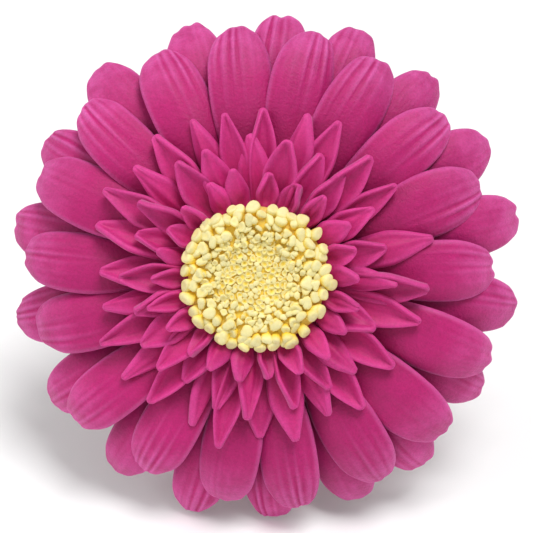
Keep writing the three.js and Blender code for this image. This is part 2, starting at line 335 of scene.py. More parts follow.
def blade(name: str, top: Grid, under: Grid, values: dict[str, Grid]) -> Mesh:
    """A closed leaf-like solid between an upper and a lower grid that meet along both sides and the tip.

    Args:
        name: The mesh's name.
        top: Upper points, as rows from claw to tip, each from one side to the other.
        under: Lower points, in the same order.
        values: Attribute name to one number per grid point.

    Returns:
        The mesh, with an attribute named under that is 1 on its lower side.
    """
    rows, columns = top.shape[:2]
    upper = np.arange(rows * columns).reshape(rows, columns)
    lower = upper.copy()
    inner_rows, inner_columns = slice(0, rows - 1), slice(1, columns - 1)
    count = (rows - 1) * (columns - 2)
    lower[inner_rows, inner_columns] = rows * columns + np.arange(count).reshape(rows - 1, columns - 2)

    def quads(grid: Grid, turned: bool) -> list[tuple[int, ...]]:
        """The grid's faces, upwards, or downwards if turned."""
        corners = np.stack([grid[:-1, :-1], grid[1:, :-1], grid[1:, 1:], grid[:-1, 1:]], axis=-1).reshape(-1, 4)
        return [tuple(int(v) for v in (row[::-1] if turned else row)) for row in corners]

    faces = quads(upper, False) + quads(lower, True)
    for j in range(columns - 1):
        ring = [int(v) for v in (upper[0, j], upper[0, j + 1], lower[0, j + 1], lower[0, j])]
        faces.append(tuple(dict.fromkeys(ring)))
    points = np.concatenate([top.reshape(-1, 3), under[inner_rows, inner_columns].reshape(-1, 3)])
    both = {
        label: np.concatenate([grid.ravel(), grid[inner_rows, inner_columns].ravel()])
        for label, grid in values.items()
    }
    both["under"] = np.concatenate([np.zeros(rows * columns), np.ones(count)])
    return mesh_from(name, points, faces, both)


def tube(name: str, rings: Grid, values: dict[str, Grid]) -> Mesh:
    """A closed skin over rings of points, each ring counter-clockwise seen from ahead.

    Args:
        name: The mesh's name.
        rings: Points as rings, one after the other. The first and last ring may be a single repeated point.
        values: Attribute name to one number per ring point.

    Returns:
        The mesh, its ends closed.
    """
    count, around = rings.shape[:2]
    index = np.arange(count * around).reshape(count, around)
    for end in (0, count - 1):
        if np.ptp(rings[end], axis=0).max() < 1e-9:
            index[end] = index[end, 0]
    faces: list[tuple[int, ...]] = []
    for j in range(count - 1):
        for i in range(around):
            k = (i + 1) % around
            ring = [int(v) for v in (index[j, i], index[j, k], index[j + 1, k], index[j + 1, i])]
            faces.append(tuple(dict.fromkeys(ring)))
    for end, order in ((0, -1), (count - 1, 1)):
        if index[end, 0] != index[end, 1]:
            faces.append(tuple(int(v) for v in index[end][::order]))
    used, packed = np.unique(index, return_inverse=True)
    lookup = dict(zip(index.ravel().tolist(), packed.ravel().tolist()))
    faces = [tuple(lookup[v] for v in face) for face in faces]
    flat = {label: grid.reshape(-1)[used] for label, grid in values.items()}
    return mesh_from(name, rings.reshape(-1, 3)[used], faces, flat)


def turned(name: str, profile: Sequence[Pair], around: int, wobble: Callable[[Grid, Grid], Grid]) -> Mesh:
    """A solid of revolution about +Z whose radius may vary round the axis.

    Args:
        name: The mesh's name.
        profile: Radius and height pairs from the foot on the axis to the top on the axis.
        around: Points in each ring.
        wobble: Gives what is added to the radius, from the angle and the share of the way up.

    Returns:
        The mesh, with an attribute named rise that runs from 0 to 1 up the profile.
    """
    angle = np.linspace(0, 2 * math.pi, around, endpoint=False)[None, :]
    radius = np.array([r for r, _ in profile])[:, None]
    rise = np.linspace(0, 1, len(profile))[:, None]
    radius = radius + np.where(radius > 0, wobble(angle, rise), 0.0)
    height = np.array([h for _, h in profile])[:, None] + 0 * angle
    rings = np.stack([radius * np.cos(angle), radius * np.sin(angle), height], axis=-1)
    return tube(name, rings, {"rise": rise + 0 * angle})


def bezier(a: Pair, b: Pair, c: Pair, d: Pair, count: int) -> list[Pair]:
    """Points on a flat cubic curve, both ends included."""
    pairs = []
    a, b, c, d = (Vector(corner) for corner in (a, b, c, d))
    for t in np.linspace(0, 1, count).tolist():
        p = (1 - t) ** 3 * a + 3 * (1 - t) ** 2 * t * b + 3 * (1 - t) * t * t * c + t**3 * d
        pairs.append((float(p.x), float(p.y)))
    return pairs


def show(mesh: Mesh, material: Material, slot: str, *nodes: str) -> None:
    """Makes a mesh a piece of the flower.

    Args:
        mesh: The piece's mesh, in the row's frame.
        material: Its finish.
        slot: The record's material slot. Not used.
        *nodes: The CAD nodes it stands for, if any.
    """
    mesh.materials.clear()
    mesh.materials.append(material)
    piece = bpy.data.objects.new(mesh.name, mesh)
    bpy.context.scene.collection.objects.link(piece)
    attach(piece, "root")
    if nodes:
        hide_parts(*nodes)
    log.info("%s: %d faces", piece.name, len(mesh.polygons))


# ------------------------------------------ finishes


def shader_group(name: str, inputs: dict[str, tuple[str, object]], outputs: dict[str, str]) -> TreeParts:
    """An empty shader node group with named inputs and outputs.

    Args:
        name: The group's name.
        inputs: Input name to its socket type and default.
        outputs: Output name to its socket type.

    Returns:
        The builder, the sockets that bring the inputs, and the sockets that take the results.
    """
    tree = bpy.data.node_groups.new(name, "ShaderNodeTree")
    build = TreeBuilder(tree)
    for label, (kind, default) in inputs.items():
        tree.interface.new_socket(label, in_out="INPUT", socket_type=kind).default_value = default
    for label, kind in outputs.items():
        tree.interface.new_socket(label, in_out="OUTPUT", socket_type=kind)
    return build, build.add("NodeGroupInput").outputs, build.add("NodeGroupOutput").inputs


def petal_tissue() -> NodeTree:
    """The group that gives every magenta floret its colour, painted shade and painted highlight included, and its
    fine relief.

    Returns:
        A group with the floret's colours and vein strength as inputs, and Color, Roughness and Height as outputs.
    """
    colour, number = "NodeSocketColor", "NodeSocketFloat"
    build, given, out = shader_group(
        "petal_tissue",
        {
            **{label: (colour, WHITE) for label in ("Body", "Claw", "Tip", "Underside")},
            **{label: (number, 0.5) for label in ("Tip Start", "Tip Strength", "Rim Strength")},
            "Vein Strength": (number, 0.08),
        },
        {"Color": colour, "Roughness": number, "Height": number},
    )
    place = build.add("ShaderNodeTexCoord").outputs["Object"]
    along = build.painted("along")
    across = build.painted("across")
    under = build.painted("under")
    tone = build.painted("tone")
    rim = build.painted("rim")
    ridge = build.painted("ridge")
    pleat = build.painted("pleat")

    # Veins run the floret's length, so their pattern is stretched along it.
    lane = build.combine(build.times(along, 1.6), build.times(across, 9.0), tone)
    veins = build.noise(lane, 1.0, 3.0)
    vein_mask = build.span(veins, 0.42, 0.62, 0.0, 1.0)
    cloud = build.noise(place, 260.0, 3.0)
    grain = build.noise(place, 3200.0, 2.0)
    nap = build.noise(place, 1500.0, 3.0)

    from_tip = build.span(along, 0.0, 1.0, 0.0, 1.0)
    # The tip's own paler colour, in patches, plus painted highlight where the ridge crests catch the light.
    tip_reach = build.add("ShaderNodeMapRange", {0: along, 1: given["Tip Start"], 2: 1.0}).outputs[0]
    tip_and_highlight_patches = build.times(tip_reach, build.span(cloud, 0.32, 0.68, 0.6, 1.2))
    tip_and_highlight_patches = build.plus(tip_and_highlight_patches, build.times(ridge, 0.75))
    tip_and_highlight_mask = build.times(tip_and_highlight_patches, given["Tip Strength"], clamp=True)
    # Painted shade: darker towards the claw, where the florets above shade it.
    claw_shade_mask = build.span(along, 0.1, 0.76, 0.85, 0.0)

    body = build.blend(claw_shade_mask, given["Body"], given["Claw"])
    body = build.blend(tip_and_highlight_mask, body, given["Tip"])
    # Painted highlight: a light sheen along the rim, in the tip colour.
    rim_highlight_share = build.times(rim, build.span(along, 0.05, 0.6, 0.25, 1.0))
    body = build.blend(build.times(rim_highlight_share, given["Rim Strength"]), body, given["Tip"])
    vein_share = build.times(vein_mask, given["Vein Strength"])
    vein_share = build.times(vein_share, build.plus(build.times(from_tip, 0.7), 0.3))
    body = build.blend(vein_share, body, given["Claw"])
    body = build.blend(build.times(under, 0.85), body, given["Underside"])
    shade = build.plus(build.span(tone, 0.0, 1.0, 0.93, 1.05), build.span(cloud, 0.25, 0.75, -0.04, 0.04))
    shade = build.plus(shade, build.span(grain, 0.2, 0.8, -0.08, 0.08))
    shade = build.plus(shade, build.span(nap, 0.25, 0.75, -0.07, 0.07))
    body = build.blend(1.0, body, build.even(shade), "MULTIPLY")

    relief = build.plus(build.times(grain, 0.55), build.times(nap, 0.9))
    furrow = build.plus(build.times(from_tip, 0.6), build.times(pleat, 1.8))
    relief = build.minus(relief, build.times(veins, furrow))
    build.tree.links.new(body, out["Color"])
    build.tree.links.new(build.span(cloud, 0.2, 0.8, 0.52, 0.66), out["Roughness"])
    build.tree.links.new(relief, out["Height"])
    return build.tree


def waxy_tissue() -> NodeTree:
    """The group for tissue that is darker low down and paler at its top: disc florets, bracts and stem. On the disc
    florets that pale top is painted highlight.

    Returns:
        A group with Low, High and Blush colours and a streak strength, and Color, Roughness and Height.
    """
    colour, number = "NodeSocketColor", "NodeSocketFloat"
    build, given, out = shader_group(
        "waxy_tissue",
        {
            **{label: (colour, WHITE) for label in ("Low", "High", "Blush")},
            "Turn": (number, 0.5),
            "Blush Strength": (number, 0.4),
            "Grain Scale": (number, 1500.0),
            "Streak": (number, 1.0),
        },
        {"Color": colour, "Roughness": number, "Height": number},
    )
    place = build.add("ShaderNodeTexCoord").outputs["Object"]
    rise = build.painted("rise")
    tone = build.painted("tone")
    stretched = build.vector("MULTIPLY", place, build.combine(1.0, given["Streak"], 1.0))
    cloud = build.noise(stretched, 420.0, 3.0)
    grain = build.noise(stretched, given["Grain Scale"], 2.0)
    low_edge = build.minus(given["Turn"], 0.3)
    high_edge = build.plus(given["Turn"], 0.3)
    wandered = build.plus(rise, build.span(cloud, 0.2, 0.8, -0.12, 0.12))
    # Low turns to High up each piece; on the disc florets the pale High top is painted highlight.
    lift = build.add("ShaderNodeMapRange", {0: wandered, 1: low_edge, 2: high_edge}).outputs[0]
    body = build.blend(lift, given["Low"], given["High"])
    blush = build.times(build.span(cloud, 0.45, 0.75, 0.0, 1.0), given["Blush Strength"])
    body = build.blend(blush, body, given["Blush"])
    shade = build.plus(build.span(tone, 0.0, 1.0, 0.93, 1.04), build.span(grain, 0.2, 0.8, -0.05, 0.05))
    body = build.blend(1.0, body, build.even(shade), "MULTIPLY")
    relief = build.plus(build.times(grain, 0.4), build.times(cloud, 0.6))
    build.tree.links.new(body, out["Color"])
    build.tree.links.new(build.span(cloud, 0.2, 0.8, 0.45, 0.6), out["Roughness"])
    build.tree.links.new(relief, out["Height"])
    return build.tree


@dataclass(frozen=True)
class Finish:
    """A material made from one tissue group and the shader's own constants."""

    name: str
    group: NodeTree
    values: dict[str, object]
    relief: float  # depth of the bump, in metres
    sheen: float = 0.0
    sheen_tint: Colour = WHITE
    sheen_roughness: float = 0.5
    subsurface: float = 0.0
    scatter: tuple[float, float, float] = (1.0, 0.3, 0.3)
    specular: float = 0.35

    def make(self) -> Material:
        """Builds the material."""
        material = bpy.data.materials.new(self.name)
        material.use_nodes = True
        build = TreeBuilder(material.node_tree)
        out = build.add("ShaderNodeOutputMaterial")
        tissue = build.add("ShaderNodeGroup", node_tree=self.group)
        for label, value in self.values.items():
            tissue.inputs[label].default_value = value
        feeds = {"Height": tissue.outputs["Height"], "Distance": self.relief, "Strength": 1.0}
        bump = build.add("ShaderNodeBump", feeds)
        skin = build.add(
            "ShaderNodeBsdfPrincipled",
            {
                "Base Color": tissue.outputs["Color"],
                "Roughness": tissue.outputs["Roughness"],
                "Normal": bump.outputs[0],
                "Sheen Weight": self.sheen,
                "Sheen Roughness": self.sheen_roughness,
                "Sheen Tint": self.sheen_tint,
                "Subsurface Weight": self.subsurface,
                "Subsurface Radius": self.scatter,
                "Subsurface Scale": 1.2 * MM,
                "Specular IOR Level": self.specular,
            },
        )
        build.tree.links.new(skin.outputs[0], out.inputs["Surface"])
        return material


class Finishes:
    """Every finish of the flower, made once."""

    def __init__(self) -> None:
        """Builds the tissue groups and the materials that use them."""
        petal, waxy = petal_tissue(), waxy_tissue()
        velvet = {
            "sheen": 0.2,
            "sheen_tint": linear(232, 150, 205),
            "sheen_roughness": 0.45,
            "subsurface": 0.12,
            "scatter": (1.0, 0.25, 0.45),
            "specular": 0.32,
        }
        self.ray = Finish(
            "ray_petal",
            petal,
            {
                "Body": linear(180, 22, 106),
                # Claw: painted shade near the base, under the inner florets.
                "Claw": linear(142, 16, 74),
                # Tip: the tip's paler colour, also used as painted highlight on lit ridge crests and along the rim.
                "Tip": linear(210, 88, 160),
                "Underside": linear(160, 60, 112),
                "Tip Start": 0.68,
                "Tip Strength": 0.7,
                # How strong the painted highlight along the rim is.
                "Rim Strength": 0.6,
            },
            0.15 * MM,
            **velvet,
        ).make()
        self.inner = Finish(
            "inner_petal",
            petal,
            {
                "Body": linear(188, 28, 108),
                # Claw: painted shade near the base, under the florets above.
                "Claw": linear(172, 24, 88),
                # Tip: the tip's paler colour, also used as painted highlight along the rim.
                "Tip": linear(210, 66, 146),
                "Underside": linear(190, 90, 140),
                "Tip Start": 0.45,
                "Tip Strength": 0.4,
                # How strong the painted highlight along the rim is.
                "Rim Strength": 0.55,
                "Vein Strength": 0.06,
            },
            0.05 * MM,
            **velvet,
        ).make()

        def wax(name: str, dyes: Dyes, turn: float, relief: float, more: Values, **skin: object) -> Material:
            """A waxy finish.

            Args:
                name: Its name.
                dyes: Its low, high and blush colours, 0 to 255 in each channel.
                turn: How far up it turns from low to high.
                relief: Depth of its bump, in millimetres.
                more: The tissue group's other inputs.
                **skin: The shader's constants.

            Returns:
                The material.
            """
            colours = {label: linear(*dye) for label, dye in zip(("Low", "High", "Blush"), dyes)}
            return Finish(name, waxy, {**colours, "Turn": turn, **more}, relief * MM, **skin).make()

        green = (0.5, 1.0, 0.3)  # how light spreads in green tissue
        # Disc florets (yellow): Low is their own yellow, High is painted highlight on their tops, Blush is random
        # blotches.
        yellow = ((252, 216, 70), (232, 222, 164), (242, 220, 108))
        ochre = ((216, 176, 116), (250, 218, 88), (248, 206, 70))
        leafy = ((132, 158, 84), (120, 92, 70), (96, 128, 60))
        grassy = ((150, 168, 96), (126, 152, 74), (112, 138, 64))
        pale = ((168, 182, 120), (222, 228, 190), (196, 206, 150))
        downy = ((186, 198, 150), (232, 236, 220), (210, 218, 186))
        self.disc = wax(
            "disc_floret", yellow, 0.69, 0.05, {}, subsurface=0.06, scatter=(1.0, 0.8, 0.35), specular=0.25
        )
        self.bed = wax(
            "disc_bed", ochre, 0.3, 0.08, {"Blush Strength": 0.5}, subsurface=0.1, scatter=(1.0, 0.7, 0.3)
        )
        self.bract = wax(
            "bract",
            leafy,
            0.92,
            0.08,
            {"Blush Strength": 0.5, "Grain Scale": 1800.0},
            sheen=0.25,
            sheen_tint=linear(220, 232, 200),
            subsurface=0.08,
            scatter=green,
        )
        self.stem = wax(
            "stem",
            grassy,
            0.5,
            0.08,
            {"Blush Strength": 0.55, "Grain Scale": 2000.0, "Streak": 0.16},
            sheen=0.2,
            sheen_tint=linear(226, 236, 208),
            subsurface=0.1,
            scatter=green,
            specular=0.4,
        )
        self.pith = wax("pith", pale, 0.4, 0.1, {}, subsurface=0.2, scatter=(0.8, 1.0, 0.5))
        self.down = wax("down", downy, 0.3, 0.0, {})


# ------------------------------------------ long rays


class TipCut(Enum):
    """How the tip of a ray ends: places across it and depths of its notches, in millimetres."""

    ROUND = ()
    PLAIN = ((0.3, 0.1),)
    TWO_LOBED = ((0.1, 0.36),)
    THREE_LOBED = ((-0.4, 0.26), (0.38, 0.32))
    SIDE_NICK = ((-0.75, 0.34),)
    FRILLED = ((-0.8, 0.24), (-0.1, 0.28), (0.6, 0.32))


TIP_CHANCES = (0.3, 0.26, 0.14, 0.12, 0.12, 0.06)  # of each TipCut, in order
RIDGE_HEIGHTS, RIDGE_CHANCES = (0.035, 0.12, 0.22), (0.3, 0.34, 0.36)
NOTCH_BREADTH = 0.19  # share of the half breadth


@dataclass(frozen=True)
class RayWhorl:
    """One whorl of long ray florets, in millimetres and degrees. Reach, level and bearings are the CAD's.

    It is 0.1 mm narrower than the CAD's rays and 0.15 mm thicker.
    """

    name: str
    node: str
    reach: float
    level: float
    rise: float
    droop: float
    roll: float
    phase: float
    lean: tuple[float, ...]
    extra: tuple[float, ...]
    seed: int
    start: float = 13.35
    claw: float = 3.6
    width: float = 13.1
    thickness: float = 1.35
    crown: float = 1.5
    bowl: float = 1.3  # how much higher the outer half arches than the CAD's plain curve
    shoulder: float = 0.66  # share of the length where the round tip begins
    bluntness: float = 2.5  # power of the tip's outline: 2 is an ellipse, and more is squarer
    corner: float = 52.0  # degrees round the tip where the mesh's sides turn into its end
    edge: float = 0.8  # radius of the rounded edge
    rows: int = 56
    columns: int = 45

    def outline(self, s: Grid, v: Grid, length: float, width: float) -> tuple[Grid, Grid]:
        """Lays a grid over the floret's outline.

        Args:
            s: Share of the way from claw to tip, down the rows.
            v: From -1 to 1 across the columns.
            length: The floret's length.
            width: Its full breadth.

        Returns:
            Distances along and across the floret.
        """
        power = 2 / self.bluntness
        wedge = (self.claw + (width - self.claw) * smoothstep(-0.15, self.shoulder, s)) / 2
        t = np.clip((s - self.shoulder) / (1 - self.shoulder), 0, 1)
        corner = math.radians(self.corner)
        half = wedge * np.cos(t * corner) ** power
        end = (1 - self.shoulder) * length
        side = np.where(t > 0, self.shoulder * length + end * np.sin(t * corner) ** power, s * length)
        bulge = (1 - np.abs(v * math.cos(corner) ** power) ** self.bluntness) ** (1 / self.bluntness)
        bulge = bulge - math.sin(corner) ** power
        return side + end * bulge * t**1.4, v * half

    def petal(self, index: int) -> Mesh:
        """Builds one ray floret in the head's frame.

        Args:
            index: Its place in the whorl, from 0.

        Returns:
            The floret's mesh.
        """
        rng = np.random.default_rng(self.seed + index)
        length = self.reach + self.extra[index] - self.start
        width = self.width * rng.uniform(0.96, 1.05)
        k = np.linspace(0, 1, self.rows)[:, None]
        s = 1 - (1 - k) ** 1.3
        j = np.linspace(-1, 1, self.columns)[None, :]
        v = np.sign(j) * (1 - (1 - np.abs(j)) ** 1.25)
        x, y = self.outline(s, v, length, width)

        # Shallow notches and waves along the tip's edge.
        cut = rng.choice(list(TipCut), p=TIP_CHANCES)
        bite = ripple(v, [(0.14, 0.7, rng.random()), (0.1, 1.5, rng.random())]) + 0.24
        for place, depth in cut.value:
            bite = bite + depth * np.exp(-(((v - place) / NOTCH_BREADTH) ** 2))
        x = self.start + x - bite * smoothstep(0.8, 1.0, s)
        y = y + rng.uniform(-0.7, 0.7) * s * s + 0.16 * ripple(s, [(1.0, 1.2, rng.random())]) * s
        y = y - np.sign(v) * 0.16 * np.abs(ripple(s, [(1.0, 1.3, rng.random())])) * np.abs(v) * s

        # The middle line climbs, then falls, and the tip curls down a little more.
        share = (x - self.start) / length
        middle = self.level + self.rise * share - self.droop * share**4
        middle = middle + self.bowl * np.sin(math.pi * np.clip(share, 0, 1)) * np.clip(share, 0, 1)
        middle = middle - rng.uniform(0.0, 1.0) * smoothstep(0.85, 1.0, s) ** 2
        pillow = self.crown * rng.uniform(0.85, 1.25) * np.minimum(1, 3 * s) * np.abs(v) ** 2.2
        pillow = pillow + 0.9 * smoothstep(0.84, 1.0, s) ** 2 * (1 - np.abs(v) ** 2)
        ridged = rng.choice(RIDGE_HEIGHTS, p=RIDGE_CHANCES)
        waves = [(1.0, rng.uniform(2.7, 3.3), rng.random()), (0.45, 4.6, rng.random())]
        patch = np.exp(-(((v - rng.uniform(-0.6, 0.6)) / 0.6) ** 2))
        fade = patch * smoothstep(0.5 + 0.1 * np.sin(9 * v), 0.92, s) * (1 - np.abs(v) ** 6)
        ridges = ridged * ripple(v * (1.08 - 0.08 * s), waves) * fade
        swell = ripple(s + 0.3 * v, [(0.2, 1.1, rng.random())]) + ripple(v - s, [(0.12, 0.7, rng.random())])
        surface = -pillow + ridges + swell * np.minimum(1, 2 * s)

        to_side = (1 - np.abs(v)) * np.abs(self.outline(s, np.ones((1, 1)), length, width)[1])
        to_edge = np.minimum(to_side, (1 - s) * length)
        inset = np.clip(to_edge / self.edge, 0, 1)
        thick = self.thickness / 2 * np.sqrt(1 - (1 - inset) ** 2)
        roll = np.radians(self.roll + rng.uniform(-2.0, 2.0)) * np.minimum(1, 3 * s)

        def side(sign: float) -> Grid:
            """The upper or the lower skin."""
            z = surface + sign * thick
            tipped = y * np.cos(roll) - z * np.sin(roll)
            return np.stack([x + 0 * z, tipped, middle + z * np.cos(roll) + y * np.sin(roll)], axis=-1)

        values = {
            "along": s + 0 * v,
            "across": v + 0 * s,
            "rim": 1 - smoothstep(0.1, 1.0, to_edge),
            "ridge": ridges / 0.25,
            "pleat": ridged / RIDGE_HEIGHTS[-1] * fade,
            "tone": np.full((self.rows, self.columns), rng.random()),
        }
        mesh = blade(f"{self.name}_{index + 1:02d}", side(1.0), side(-1.0), values)
        bearing = self.phase + 360.0 / len(self.lean) * index + self.lean[index]
        mesh.transform(Matrix.Rotation(math.radians(bearing), 4, "Z"))
        return mesh

    def dress(self, head: HeadFrame, finish: Material) -> None:
        """Makes every ray of the whorl a piece.

        Args:
            head: The head's frame.
            finish: The rays' material.
        """
        for index in range(len(self.lean)):
            show(head.place(self.petal(index)), finish, "ray_petals", f"{self.node}_{index + 1:02d}")


# ------------------------------------------ small florets


@dataclass(frozen=True)
class LanceBlade:
    """A small floret or bract with a blunt point, lying along +X with its foot at 0 and a length of 1.

    Its breadth is 1 too, and its height is in millimetres. The tree that sets it in place gives it its size.
    """

    name: str
    seed: int
    length: float  # millimetres, for the sizes below
    breadth: float
    thickness: float = 1.7
    cup: float = 0.6  # how far the long edges stand above the middle line
    tray: float = 0.4  # how far the face sinks inside its rounded margin
    keel: float = 0.0  # height of a fold along the middle
    foot: float = 0.6  # breadth at the foot, as a share of the widest
    widest: float = 0.44
    tip_radius: float = 0.8
    edge: float = 0.8  # radius of the rounded edge
    rows: int = 26
    columns: int = 19

    def mesh(self) -> Mesh:
        """Builds the blade, with attributes along, across, rim and under."""
        rng = np.random.default_rng(self.seed)
        k = np.linspace(0, 1, self.rows)[:, None]
        s = 1 - (1 - k) ** 1.3
        j = np.linspace(-1, 1, self.columns)[None, :]
        v = np.sign(j) * (1 - (1 - np.abs(j)) ** 1.5)
        wedge = self.foot + (1 - self.foot) * smoothstep(-0.1, self.widest, s)
        taper = np.clip((s - self.widest) / (1 - self.widest), 0, 1)
        point = 2.0 * self.tip_radius / self.breadth
        half = wedge / 2 * (1 - (1 - point) * taper ** rng.uniform(1.15, 1.5))
        nose = 0.75 * self.tip_radius / self.length
        x = s - nose * (1 - np.sqrt(1 - 0.96 * v * v)) * smoothstep(0.7, 1.0, s)
        y = v * half + rng.uniform(-0.12, 0.12) * s * s
        to_edge = np.minimum((1 - np.abs(v)) * half * self.breadth, (1 - s) * self.length)
        long_wave = np.sin(math.pi * np.clip(s * 0.9 + 0.1, 0, 1)) ** 0.6
        surface = self.cup * v * v * long_wave - self.tray * smoothstep(0.5, 1.9, to_edge) * smoothstep(0.0, 0.3, s)
        surface = surface + self.keel * np.exp(-((v / 0.28) ** 2)) * smoothstep(0.1, 0.5, s) * (1 - s**4)
        nerves = 0.1 * (1 - 2 * np.abs(ripple(v, [(1.0, 0.9, rng.random()), (0.4, 1.7, rng.random())]))) * (1 - v**4)
        surface = surface + nerves + 0.12 * ripple(s + 0.4 * v, [(1.0, 1.3, rng.random())])
        inset = np.clip(to_edge / self.edge, 0, 1)
        thick = self.thickness / 2 * np.sqrt(1 - (1 - inset) ** 2)
        top = np.stack([x + 0 * v, y, surface + thick], axis=-1)
        under = np.stack([x + 0 * v, y, 0.7 * surface - thick], axis=-1)
        values = {"along": s + 0 * v, "across": v + 0 * s, "rim": 1 - smoothstep(0.2, 1.6, to_edge)}
        return blade(self.name, top, under, values)


def hidden_stock(name: str, meshes: Sequence[Mesh]) -> Collection:
    """A collection of shapes for a tree to pick from, kept out of the scene.

    Args:
        name: The collection's name.
        meshes: The shapes, in the order of their pick numbers.

    Returns:
        The collection.
    """
    stock = bpy.data.collections.new(name)
    for number, mesh in enumerate(meshes):
        stock.objects.link(bpy.data.objects.new(f"{name}_{number}", mesh))
    return stock


def seats(name: str, columns: dict[str, Sequence[float]]) -> Mesh:
    """Loose points, one for each floret to grow, all at the origin, with a number attribute for each column."""
    count = len(next(iter(columns.values())))
    values = {label: np.array(numbers, float) for label, numbers in columns.items()}
    return mesh_from(name, np.zeros((count, 3)), [], values)


def picked_seats(name: str, columns: dict[str, Sequence[float]], blades: Collection, rng: Random) -> Mesh:
    """Seats that also hold the kind of blade that each one grows."""
    points = seats(name + "_seats", columns)
    kinds = rng.integers(0, len(blades.objects), len(points.vertices))
    points.attributes.new("kind", "INT", "POINT").data.foreach_set("value", kinds)
    return points


def whorl_tree() -> NodeTree:
    """The tree that grows a whorl of small florets from its seats.

    Each seat holds bearing, reach, breadth, level, lift, curl, roll, twist, kind and tone. A blade is set on each
    seat, then shaped in its own frame, and then turned to its bearing.

    Returns:
        The tree.
    """
    number = "NodeSocketFloat"
    build, given, out = geometry_tree(
        "whorl_of_florets",
        {
            "Blades": ("NodeSocketCollection", None),
            "Start Radius": (number, 13.4),
            "Level": (number, 4.0),
            "Rise": (number, 2.6),
            "Droop": (number, 1.5),
            "Finish": ("NodeSocketMaterial", None),
        },
    )

    held = build.held
    loose = build.planted(given["Geometry"], given["Blades"], held("kind"))
    x, y, z = build.split(build.add("GeometryNodeInputPosition").outputs[0])
    length = build.minus(held("reach"), given["Start Radius"])
    side = build.times(y, held("breadth"))

    # Roll about the floret's own length, and a twist that grows towards the tip.
    angle = build.plus(held("roll"), build.times(held("twist"), x))
    cos, sin = build.math("COSINE", angle), build.math("SINE", angle)
    turned_side = build.minus(build.times(side, cos), build.times(z, sin))
    turned_up = build.plus(build.times(side, sin), build.times(z, cos))

    # The middle line climbs and then falls, as the whorl does, and each floret adds its own lift and curl.
    cubed = build.math("POWER", build.math("MAXIMUM", x, 0.0), 3.0)
    rise = build.plus(given["Rise"], held("lift"))
    fall = build.plus(given["Droop"], held("curl"))
    climb = build.minus(build.times(rise, x), build.times(fall, cubed))
    level = build.plus(given["Level"], held("level"))
    height = build.plus(build.plus(level, climb), turned_up)
    out_from_axis = build.plus(given["Start Radius"], build.times(x, length))
    shaped = build.combine(out_from_axis, turned_side, height)
    turn = build.add(
        "ShaderNodeVectorRotate", {"Vector": shaped, "Angle": held("bearing")}, rotation_type="Z_AXIS"
    ).outputs[0]
    moved = build.add("GeometryNodeSetPosition", {"Geometry": loose, "Position": turn})
    return build.ends(moved.outputs[0], given["Finish"], out)


@dataclass(frozen=True)
class InnerWhorl:
    """One whorl of small inner florets, in millimetres and degrees. Its blades are thicker than the CAD's."""

    name: str
    node: str
    reach: float
    breadth: float
    level: float
    rise: float
    droop: float
    phase: float
    lean: tuple[float, ...]
    extra: tuple[float, ...]
    seed: int
    start: float = 13.6

    def blades(self) -> Collection:
        """The floret shapes that the whorl picks from. The longer they are, the nearer the tip they are widest."""
        length = self.reach - self.start
        shared = {"length": length, "breadth": self.breadth, "widest": 0.36 + 0.011 * length}
        looks = (
            {"cup": 1.0, "tray": 0.7},
            {"cup": 0.6, "tray": 0.8, "foot": 0.7},
            {"cup": 1.3, "tray": 0.5, "foot": 0.5},
            {"cup": 0.4, "tray": 0.9, "keel": 0.7},
            {"cup": -0.7, "tray": 0.3, "keel": 0.5},
            {"cup": -1.2, "tray": 0.2, "keel": 1.0, "tip_radius": 0.7},
            {"cup": 1.6, "tray": 0.9, "foot": 0.65, "tip_radius": 0.95},
        )
        shapes = [
            LanceBlade(f"{self.name}_blade_{i}", self.seed + 1 + i, **look, **shared) for i, look in enumerate(looks)
        ]
        return hidden_stock(self.name + "_blades", [shape.mesh() for shape in shapes])

    def dress(self, head: HeadFrame, tree: NodeTree, finish: Material) -> None:
        """Grows the whorl and makes it a piece.

        Args:
            head: The head's frame.
            tree: The tree that grows a whorl.
            finish: The whorl's material.
        """
        rng = np.random.default_rng(self.seed)
        count = len(self.lean)
        blades = self.blades()
        columns = {
            "bearing": [math.radians(self.phase + 360 / count * i + self.lean[i]) for i in range(count)],
            "reach": [self.reach + more for more in self.extra],
            "breadth": self.breadth * rng.uniform(0.86, 1.18, count),
            "level": rng.uniform(-0.5, 0.5, count),
            "lift": rng.uniform(-0.4, 2.0, count),
            "curl": rng.uniform(-1.0, 1.0, count),
            "roll": np.radians(rng.uniform(-30, 30, count)),
            "twist": np.radians(rng.uniform(-38, 38, count)),
            "tone": rng.random(count),
        }
        points = picked_seats(self.name, columns, blades, rng)
        values = {
            "Blades": blades,
            "Start Radius": self.start,
            "Level": self.level,
            "Rise": self.rise,
            "Droop": self.droop,
            "Finish": finish,
        }
        show(head.place(grown(points, tree, values, self.name)), finish, "inner_petals", self.node)


# ------------------------------------------ disc


